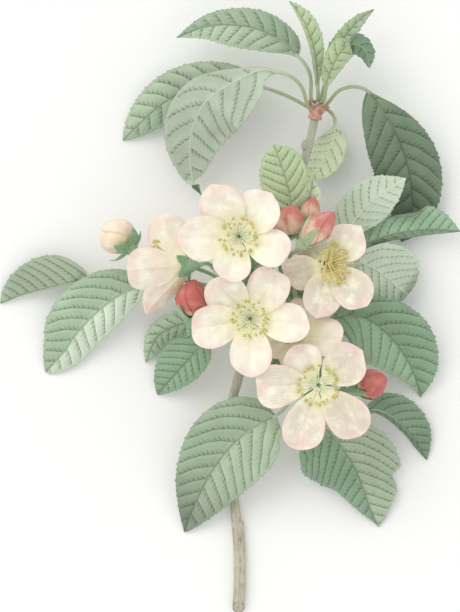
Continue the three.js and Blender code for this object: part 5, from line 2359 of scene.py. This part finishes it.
@dataclass(frozen=True)
class PlainGrowth:
    """Small growths of one mottled colour, such as specks, hairs and scales.

    Attributes:
        name: The material's name.
        light: Its lighter colour.
        dark: Its darker colour.
        size: The size of its mottling, in millimetres.
    """

    name: str
    light: Colour
    dark: Colour
    size: float = 1.2

    def build(self) -> Material:
        """Builds the node tree.

        Returns:
            The material.
        """
        shader = Shader(self.name)
        mottle = shader.noise(self.size, 3)
        colour = shader.mix(mottle.step(0.35, 0.68), self.light, self.dark)
        return shader.finish(
            Base_Color=colour,
            Roughness=0.66 + (mottle - 0.5) * 0.2,
            Normal=shader.bump(mottle, 0.1, 0.7),
        )


CUP_GREEN = (132, 168, 132)
FINISHES = (
    LeafFinish("leaf"),
    LeafFinish("young_leaf", gloss=0.6, bright=1.04, vein=0.28),
    StemFinish("stalk", None, (180, 162, 126), 0.3),
    StemFinish("calyx", CUP_GREEN, (176, 184, 140), 0.3),
    StemFinish("silvery_calyx", (164, 180, 142), (214, 214, 178), 0.6),
    PlainGrowth("down", (236, 238, 222), (214, 220, 196)),
    PetalFinish(),
    BudFinish("bud", (204, 110, 106), (224, 160, 142), (168, 78, 78), 0.8),
    BudFinish(
        "blushing_bud", (208, 128, 118), (240, 208, 182), (184, 98, 92), 0.3,
        foot=(238, 224, 184), climb=1.0,
    ),
    BudFinish(
        "pale_bud", (240, 202, 184), (250, 238, 208), (228, 176, 158), 0.34,
        foot=(240, 232, 184), climb=-0.1,
    ),
    StamenFinish(),
    StamenFinish(
        "golden_stamen", thread=(250, 240, 190), anther=(238, 226, 152),
        dust=(190, 178, 108), disc=(240, 228, 160), style=(246, 236, 176),
    ),
    BarkFinish(),
    PlainGrowth("lenticel", (206, 194, 162), (168, 150, 120)),
    PlainGrowth("bud_scale", (208, 164, 146), (176, 126, 108), 1.6),
)


# ---- The studio ----


@dataclass(frozen=True)
class Studio:
    """A pale surface under plain soft light, and the camera above it.

    Attributes:
        distance: The camera's height, in metres.
        lens: Its focal length, in millimetres.
        sky: The strength of the light from all round.
        sun: The strength of the light from the upper left.
        centre: What the camera stands over, in metres.
    """

    distance: float = 2.0
    lens: float = 293.4
    sky: float = 0.9
    sun: float = 0.75
    centre: tuple[float, float] = (0.0, 0.0006)

    FLOOR_EDGE = 3
    FLOOR_HEIGHT = -0.0002

    def _floor(self) -> None:
        """The surface, with a very faint tooth."""
        mesh = bpy.data.meshes.new("floor")
        edge, low = self.FLOOR_EDGE, self.FLOOR_HEIGHT
        corners_ = [(-edge, -edge, low), (edge, -edge, low), (edge, edge, low), (-edge, edge, low)]
        mesh.from_pydata(corners_, [], [(0, 1, 2, 3)])
        shader = Shader("paper")
        tooth = shader.noise(0.9, 3)
        colour = shader.mix(shader.noise(60, 2), (252, 252, 250), (250, 249, 247))
        paper = shader.finish(
            Base_Color=colour,
            Roughness=0.9 + (tooth - 0.5) * 0.1,
            Normal=shader.bump(tooth, 0.03, 0.3),
            Specular_IOR_Level=0.1,
        )
        mesh.materials.append(paper)
        floor = bpy.data.objects.new("floor", mesh)
        bpy.context.scene.collection.objects.link(floor)

    def _camera(self) -> None:
        """The camera, looking straight down."""
        camera = bpy.data.cameras.new("camera")
        camera.sensor_width = 36
        camera.lens = self.lens
        camera.clip_end = 10
        eye = bpy.data.objects.new("camera", camera)
        eye.location = (*self.centre, self.distance)
        bpy.context.scene.collection.objects.link(eye)
        bpy.context.scene.camera = eye

    def _light(self) -> None:
        """Light from all round, and a wide soft lamp at the upper left."""
        world = bpy.data.worlds.new("studio")
        world.use_nodes = True
        background = world.node_tree.nodes["Background"]
        background.inputs["Color"].default_value = linear(254, 255, 255)
        background.inputs["Strength"].default_value = self.sky
        bpy.context.scene.world = world
        lamp = bpy.data.lights.new("window", "SUN")
        lamp.energy = self.sun
        lamp.angle = math.radians(40)
        lamp.color = (1.0, 0.99, 0.97)
        window = bpy.data.objects.new("window", lamp)
        window.rotation_euler = (math.radians(-30), math.radians(-30), 0)
        bpy.context.scene.collection.objects.link(window)

    def build(self) -> None:
        """Makes the surface, the camera and the lights."""
        self._camera()
        self._floor()
        self._light()
        bpy.context.scene.view_settings.view_transform = "Standard"


# ---- The branch ----

_, SHOOT, LEFT_SPUR, RIGHT_SPUR = Limb
DEEP, GREEN, JADE, MID, SAGE, PALE, FRESH, LIME, _ = Tone

LEAVES = (
    Leaf(
        "leaf_top_left", SHOOT, (SAGE, MID), PALE,
        stalk=((32.2, 82.8, 18.8), (32, 91, 21), (30, 96, 22.4)),
        rib=((26.8, 99.6, 23), (21, 105, 24.5), (11, 110.2, 25), (0, 112, 22.5),
            (-10, 111.5, 17.5), (-21.4, 107.5, 11)),
        halves=(8.8, 7.4), fold=(10, 12), bend=(-20, -24), base=(1, 0.5), point=(1.3, 0.95),
        sharp=0.3,
    ),
    Leaf(
        "leaf_left_back", SHOOT, (MID, SAGE), PALE,
        stalk=((31, 79.8, 15.4), (26.5, 82.4, 14.6), (20, 85.4, 14)),
        rib=((13.6, 87.6, 13.5), (6, 89.2, 13.5), (-6, 89, 12.5), (-18, 86.2, 10),
            (-29, 79.8, 6.6), (-43, 66.9, 0.6)),
        halves=(10, 10), fold=(6, 6), bend=(-10, -16), base=(0.62, 0.7), point=(0.85, 0.7),
        sharp=0.18, glow=1.03,
    ),
    Leaf(
        "leaf_left_front", SHOOT, (GREEN, DEEP), PALE,
        stalk=((31, 79.8, 19.8), (28.6, 87, 23.6), (24, 91.6, 26)),
        rib=((19, 93, 27), (12.6, 94, 28), (6, 91.4, 28), (-2.4, 87, 27), (-9.6, 81.6, 24.5),
            (-14, 74, 21), (-15.8, 66, 17), (-15.8, 57.4, 13), (-14.8, 51, 9.5), (-11.2, 44.6, 6)),
        halves=(11.4, 16.8), roll=((0, 176), (0.885, 176), (0.94, 20)), fold=(-9, -8),
        bend=(22, 16), base=(1.9, 1.05), point=(1.6, 1.4), glow=0.94,
    ),
    Leaf(
        "leaf_crown_left", SHOOT, (FRESH, FRESH), SAGE,
        stalk=((35, 84.6, 18.8),),
        rib=((34.8, 87.5, 21), (34.4, 92.6, 23), (33.2, 102.2, 25), (30.2, 111, 25),
            (26.6, 117.4, 23.5), (23.4, 121.6, 21.5)),
        halves=(4, 4.8), fold=(68, -4), bend=(0, -14), base=(0.8, 1.2), point=(0.8, 0.7),
        young=True, sharp=0.25,
    ),
    Leaf(
        "leaf_crown_right", SHOOT, (FRESH, SAGE), SAGE,
        stalk=((36.4, 84, 14.6),),
        rib=((38, 90, 14.5), (41.4, 101, 17), (46, 108, 18.5), (51.2, 114, 19.6),
            (57.2, 118.4, 20)),
        halves=(3.4, 3.6), fold=(20, 16), bend=(-6, -6), base=(0.8, 0.8), point=(0.8, 0.8),
        young=True, sharp=0.25, glow=0.93,
    ),
    Leaf(
        "leaf_crown_front", SHOOT, (FRESH, FRESH), GREEN,
        stalk=((37.4, 82.4, 19.6),),
        rib=((38, 87, 22.5), (39, 91, 24.5), (41.4, 97, 27.5), (44.6, 101.8, 29.5), (48, 104, 30),
            (51.6, 103.2, 29), (54.2, 100, 26.8), (55.2, 94.8, 24)),
        halves=(4.9, 4.5), roll=((0, -6), (0.5, -6), (0.64, -158), (1, -165)), base=(0.7, 0.8),
        point=(0.65, 0.6), young=True, sharp=0.2, glow=0.9,
    ),
    Leaf(
        "leaf_right_large", SHOOT, (DEEP, DEEP), MID,
        stalk=((38.4, 80.6, 16.8), (42.4, 85.4, 19.6), (46.8, 87.4, 21.4), (51, 87.4, 22)),
        rib=((54.6, 85.8, 21.5), (60, 79, 20), (65, 71, 17.5), (68.6, 63.2, 14.5),
            (70.8, 56.4, 11.5), (72.4, 48.4, 8), (72.8, 40.4, 5), (71.6, 32.6, 2.5),
            (68.8, 26.2, 0.6)),
        halves=(12.8, 13.6), fold=(6, 8), bend=(-18, -20), base=(1.2, 0.6), point=(1, 0.75),
        glow=0.95,
    ),
    Leaf(
        # its LIME underside is painted light
        "leaf_hanging_small", SHOOT, (MID, MID), LIME,
        stalk=((37.8, 79.2, 14), (40.4, 77.6, 12.5), (41.8, 75, 11.5)),
        rib=((41.8, 72, 10.5), (41.2, 66.5, 9.5), (38, 60, 8.5), (32, 51.4, 7)),
        halves=(6.8, 6.6), roll=180, fold=(-8, -8), bend=(14, 14), point=(0.55, 0.62),
    ),
    Leaf(
        "leaf_upper_light", SHOOT, (FRESH, FRESH), SAGE,
        stalk=((22.4, 33, 21),),
        rib=((24.2, 37.4, 25), (23.4, 45.4, 27.5), (21.4, 53, 27.5), (17.4, 64.6, 25)),
        halves=(10, 8.8), bend=(-16, -16), base=(0.5, 0.75), point=(0.6, 0.55), young=True,
        sharp=0.17,
    ),
    Leaf(
        # its LIME upper side is painted light
        "leaf_upper_small", SHOOT, (LIME, LIME), SAGE,
        stalk=((26.4, 37.4, 18.6),),
        rib=((28.4, 40, 19.5), (31.4, 44.5, 21), (32.8, 50.4, 20.6)),
        halves=(4.8, 4.4), fold=(10, 10), bend=(-12, -12), point=(0.65, 0.65), young=True,
        sharp=0.2,
    ),
    Leaf(
        "leaf_right_pale", RIGHT_SPUR, (GREEN, GREEN), PALE,
        stalk=((28.6, 0, 21.6), (34, 10, 20.6), (40, 19.6, 19.4)),
        rib=((44, 25.6, 19), (48.6, 33.4, 20), (52.4, 38.2, 20.6), (58, 43.8, 20.6),
            (64, 47.6, 19.4), (70, 51.4, 17)),
        halves=(8.8, 9.4), roll=178, fold=(-8, -8), bend=(14, 14), base=(0.9, 0.5),
        point=(0.6, 0.6), sharp=0.3,
    ),
    Leaf(
        "leaf_right_folded", RIGHT_SPUR, (JADE, GREEN), DEEP,
        stalk=((30.6, -2, 19.5), (38, 10, 16.4), (46, 20, 15.6)),
        rib=((52.8, 24.4, 16), (60, 27.6, 16), (68, 29.8, 15.4), (80, 31, 12.6), (92, 30.4, 8)),
        halves=(10.4, 5), fold=(4, -62), bend=(((0, 176), (0.5, 172), (0.72, -14)), 0), grip=3.2,
        base=(0.55, 0.6), point=(0.5, 0.7), sharp=0.25,
    ),
    Leaf(
        "leaf_right_round", RIGHT_SPUR, (DEEP, DEEP), PALE,
        stalk=((31, -3.6, 23.5), (39, 6, 23), (46, 14, 19.5)),
        rib=((50.8, 17.6, 17.6), (56.4, 16, 16), (61.4, 12.6, 14), (66.6, 8.4, 11.4),
            (71, 5, 8.8)),
        halves=(9.4, 14), roll=180, fold=(-6, -6), bend=(12, 12), base=(0.5, 0.6),
        # the darker tip is painted shade, in place of a tip that curls under
        point=(0.5, 0.46), glow=((0.82, 1.03), (0.93, 0.7)),
    ),
    Leaf(
        "leaf_right_dark", RIGHT_SPUR, (GREEN, JADE), MID,
        stalk=((31, -6.5, 20.5), (35, -6.4, 20.4)),
        rib=((38.8, -5.4, 20.4), (46, -3.2, 20.4), (52.6, -3.8, 20), (59, -7.4, 18.4),
            (65.6, -13.6, 14.6), (70, -19.8, 10.6), (73.6, -26.6, 6), (76.2, -36, 0.8)),
        halves=(14.6, 14.6), fold=(12, 10), bend=(-22, -18), base=(1.2, 0.7), point=(1, 1.3),
    ),
    Leaf(
        "leaf_right_low", RIGHT_SPUR, (GREEN, GREEN), SAGE,
        stalk=((30.2, -10, 19.5), (39, -22, 15), (48, -35, 13)),
        rib=((54.4, -39.6, 12), (61.2, -41.4, 11.4), (66.8, -45, 9.4), (72, -50.4, 6.6),
            (75.6, -56, 3.6), (78.8, -61, 1)),
        halves=(9.6, 7), fold=(-2, -70), bend=(-18, -6), point=(0.75, 0.75), sharp=0.22, glow=0.8,
    ),
    Leaf(
        "leaf_bottom_right", RIGHT_SPUR, (SAGE, GREEN), SAGE,
        stalk=((28.8, -10, 18.5), (31, -22, 14), (34, -38, 12.4)),
        rib=((38, -47.6, 12.4), (42.4, -53, 12.2), (47, -59.4, 11), (50.6, -66, 9.4),
            (53.4, -73, 7.4), (56, -80.4, 4.4), (59.4, -88, 0.6)),
        halves=(17.8, 18.2),
        bend=(((0, -20), (0.54, -20), (0.65, -96), (0.77, -52)),
            ((0, -16), (0.42, -24), (0.6, -104), (0.86, -80))),
        base=(0.7, 0.3), point=(0.9, 1.35),
    ),
    Leaf(
        "leaf_bottom_left", RIGHT_SPUR, (SAGE, MID), PALE,
        stalk=((25.4, -11, 22.5), (26, -24, 22), (24.4, -35, 21), (21.4, -40.4, 20.6)),
        rib=((18.2, -43, 20.4), (13.6, -45.2, 20.2), (6.6, -49.6, 19.2), (-1.2, -57, 16.6),
            (-8.8, -68, 11.4), (-14.8, -80.4, 5.2), (-18.4, -90, 0.6)),
        halves=(16.9, 16.9), fold=(10, 10), bend=(-20, -22), base=(0.36, 0.56), point=(0.8, 1.1),
        glow=((0.55, 1), (1, 0.6)),
    ),
    Leaf(
        "leaf_left_low", LEFT_SPUR, (GREEN, GREEN), SAGE,
        stalk=((4.6, -3.6, 20), (-1.5, -8, 19.5)),
        rib=((-9, -12.6, 18.5), (-14, -18, 15.5), (-18, -22.4, 12.2), (-22, -26.8, 8.4),
            (-29, -35, 0.8)),
        halves=(7.4, 10.2), fold=(10, 8), bend=(-12, -20), base=(0.5, 0.6), point=(0.9, 0.85),
    ),
    Leaf(
        "leaf_left_low_back", LEFT_SPUR, (MID, SAGE), SAGE,
        stalk=((4, -1.6, 16.5), (-3, -3, 14)),
        rib=((-10, -5, 12.5), (-20, -6.8, 10), (-28.6, -11.4, 6), (-33.8, -22, 1.2)),
        halves=(5, 5.4), fold=(10, 10), bend=(-16, -16), base=(0.62, 0.62), point=(0.8, 0.9),
        glow=1.1,
    ),
    Leaf(
        "leaf_left_large", LEFT_SPUR, (PALE, MID), PALE,
        stalk=((3.4, 1.6, 19), (-8, 5, 17), (-22, 7.6, 16)),
        rib=((-32, 8, 16), (-38, 7.4, 15.6), (-46, 3.6, 14), (-54, -2.8, 11.2), (-61, -10, 7.6),
            (-66.4, -17.6, 4), (-73.8, -26, 0.6)),
        halves=(9.4, 14.8), fold=(-4, 8), bend=(-20, -22), base=(0.6, 0.75), point=(0.6, 0.85),
        glow=1.12,
    ),
    Leaf(
        "leaf_left_far", LEFT_SPUR, (SAGE, SAGE), PALE,
        stalk=((3.8, 3.4, 15.5), (-10, 9, 11.5), (-28, 12, 9.5), (-46, 13.4, 9)),
        rib=((-56.4, 11.6, 9), (-62.5, 10.1, 9), (-69, 8.6, 8), (-76, 7, 6.4), (-84, 4.8, 3.6),
            (-92, 1.6, 0.6)),
        halves=(6, 12.8), fold=(-88, 6), bend=(0, -24), glow=0.9, point=(0.9, 0.8),
    ),
    Leaf(
        "leaf_middle_up", LEFT_SPUR, (GREEN, GREEN), SAGE,
        stalk=((8, 5.2, 23),),
        rib=((8.4, 8, 23.5), (9, 14, 25), (10, 22, 24)),
        halves=(7.5, 7.5), point=(0.8, 0.8), sharp=0.25,
    ),
    Leaf(
        "leaf_middle_right", RIGHT_SPUR, (GREEN, GREEN), SAGE,
        stalk=((24.4, -2, 22.4),),
        rib=((24.4, 1.2, 23.6), (27.2, 7.4, 24.4), (29.6, 14, 23.4)),
        halves=(7, 7), point=(0.8, 0.8), sharp=0.25,
    ),
    Leaf(
        "leaf_middle_low", RIGHT_SPUR, (GREEN, GREEN), SAGE,
        stalk=((22, -9.6, 22.4),),
        rib=((20, -12.6, 24), (19, -20, 25.5), (22.5, -29, 24.5)),
        halves=(8, 7.5), point=(0.8, 0.8), sharp=0.25,
    ),
)

# Each Petal's fourth number is how much painted shade it takes.
BLOOMS = (
    Bloom(
        "bloom_upper", LEFT_SPUR, stalk=((6, 6, 30), (3.6, 17, 34)), at=(3.4, 28, 46.5),
        face=(0.02, -0.05, 1),
        petals=(
            Petal(119, 23.4, 8.9, 0.4, 0.7), Petal(53, 21.4, 9.2, 0.15, 0.7),
            Petal(182, 24.2, 9.2, 0.25, 0.5), Petal(255, 18.2, 7.8, 0.1), Petal(340, 21.4, 7.8),
        ),
    ),
    Bloom(
        "bloom_middle", LEFT_SPUR, stalk=((8, -1.5, 31),), at=(7.8, -4.2, 40.5),
        face=(0.02, -0.03, 1),
        petals=(
            Petal(134, 22, 8.4, 0.5), Petal(59, 23, 8.6, 0.45), Petal(-7, 23.8, 8, 0.2),
            Petal(270, 23.2, 8.6, 0.1, 0.2), Petal(191, 24.6, 8.8, 0.3),
        ),
    ),
    Bloom(
        "bloom_lower", RIGHT_SPUR, stalk=((28.4, -9, 27.4), (33, -20, 27)), at=(34.6, -30.2, 36),
        face=(0.02, -0.06, 1), claw=1.02,
        threads=Threads(rise=(22, 40), length=(6.6, 7.8), count=30),
        petals=(
            Petal(122, 18.4, 8, 0.4, 0.4), Petal(38, 22, 9.2, 0.8, 0.8), Petal(180, 25.8, 9, 0.6),
            Petal(250, 27.2, 8.6, 0.65), Petal(312, 26.4, 8.6, 0.9),
        ),
    ),
    Bloom(
        "bloom_right", RIGHT_SPUR, stalk=((30.2, -3, 26.4), (34.5, 8, 27.5)),
        at=(38.2, 17.4, 36.5), face=(0.1, -0.06, 1), claw=0.95,
        petals=(
            Petal(49, 18.8, 8.2, 0.45, 1), Petal(-47, 22.6, 8.2, 0.75, 0.5),
            Petal(-103, 22, 8, 0.75, 0.8), Petal(196, 17.6, 7.2, 0.9, 0.4, rise=(14, -4)),
            Petal(134, 14, 6, 0.8, rise=(-14, -34)),
        ),
        threads=Threads(rise=(38, 84), length=(6.4, 8.8), count=84, thick=0.3),
        aim=(0.46, -0.02, 0.88), golden=True,
    ),
    Bloom(
        "bloom_back", RIGHT_SPUR, stalk=((27, -10.2, 21),), at=(26, -10.6, 31),
        face=(-0.25, 0.1, 0.95),
        petals=(
            Petal(-8, 19.4, 8, rise=(6, -8)), Petal(62, 15, 7, 0.2), Petal(134, 13.4, 6.6, 0.3),
            Petal(206, 13.4, 6.6, 0.3), Petal(278, 15, 7, 0.3),
        ),
        threads=Threads(rise=(50, 76), length=(4.4, 5.4)),
    ),
    Bloom(
        "bloom_left", LEFT_SPUR, stalk=((3, 5, 27.6), (-4, 13, 31)), at=(-16.2, 16.4, 35),
        face=(-0.84, -0.08, -0.5), turn=180,
        petals=(
            Petal(187, 25.8, 8.6, 0.35, rise=(50, 34)),
            Petal(280, 24.6, 8.8, 0.45, 0.6, rise=(36, 24), roll=-46),
            Petal(120, 24.2, 7.9, 0.35, 1, rise=(52, 38), roll=12),
            Petal(50, 19, 7.4, 0.3, rise=(64, 54)), Petal(337, 17, 7.2, 0.3, rise=(70, 60)),
        ),
        sepal=Sepal(6, (36, 16), 2.2), threads=Threads(rise=(74, 86), length=(13, 16.4)),
        aim=(-0.83, 0.38, -0.32),
    ),
)

BUDS = (
    Bud(
        "bud_left", LEFT_SPUR, stalk=((4, 4.6, 22.5), (-8, 13.5, 15.6), (-24, 18, 16)),
        at=(-39.8, 23.8, 27), face=(-0.7, 0.62, -0.28), radius=7.4, length=14.2,
        sepal=Sepal(8.4, (-4, 56), 2.5), pale=True,
    ),
    Bud(
        "bud_red_left", LEFT_SPUR, stalk=((4.6, -1, 28), (-6, -7, 27), (-15, -8.5, 27)),
        at=(-15.4, -3.4, 29.6), face=(0.08, 0.9, 0.32), radius=6.4, length=15,
        sepal=Sepal(9.5, (30, 72)),
    ),
    Bud(
        "bud_upper_left", RIGHT_SPUR, stalk=((23.8, -1.6, 27), (22, 7, 29), (20.2, 14, 30)),
        at=(21.4, 28.3, 34), face=(0.3, 0.86, 0.34), radius=5.8, sepal=Sepal(7, (20, 64), 2),
        blushing=True,
    ),
    Bud(
        "bud_upper_right", RIGHT_SPUR, stalk=((26.4, -2.4, 29.4), (25.4, 8, 31.4)),
        at=(29.2, 25.4, 41.2), face=(0.6, 0.6, 0.46), radius=5.3, length=18.4,
        sepal=Sepal(13.5, (56, 88), 2.3), silvery=True, blushing=True,
    ),
    Bud(
        "bud_upper_small", SHOOT, stalk=((20.6, 28, 20), (25.6, 30, 24)), at=(30.4, 34, 27),
        face=(0.3, 0.9, 0.3), radius=3.8, length=10, sepal=Sepal(4.4, (25, 60)), blushing=True,
    ),
    Bud(
        "bud_red_right", RIGHT_SPUR, stalk=((31, -7.4, 25.4), (40, -20, 25), (46, -29, 23.8)),
        at=(50.4, -32, 25.5), face=(0.9, 0.3, 0.3), radius=5.8, length=12.6,
        sepal=Sepal(7.6, (35, 66)),
    ),
)


def main() -> None:
    """Builds the branch on its surface."""
    logging.basicConfig(level=logging.INFO, format="%(message)s")
    Studio().build()
    finishes = {finish.name: finish.build() for finish in FINISHES}
    Wood().build(finishes)
    BudScales().build(finishes)
    for leaf in LEAVES:
        leaf.build(finishes)
    for flower in (*BLOOMS, *BUDS):
        flower.cup_piece(finishes)
        flower.petals_piece(finishes)
    for bloom in BLOOMS:
        bloom.stamens_piece(finishes)


if __name__ == "__main__":
    main()
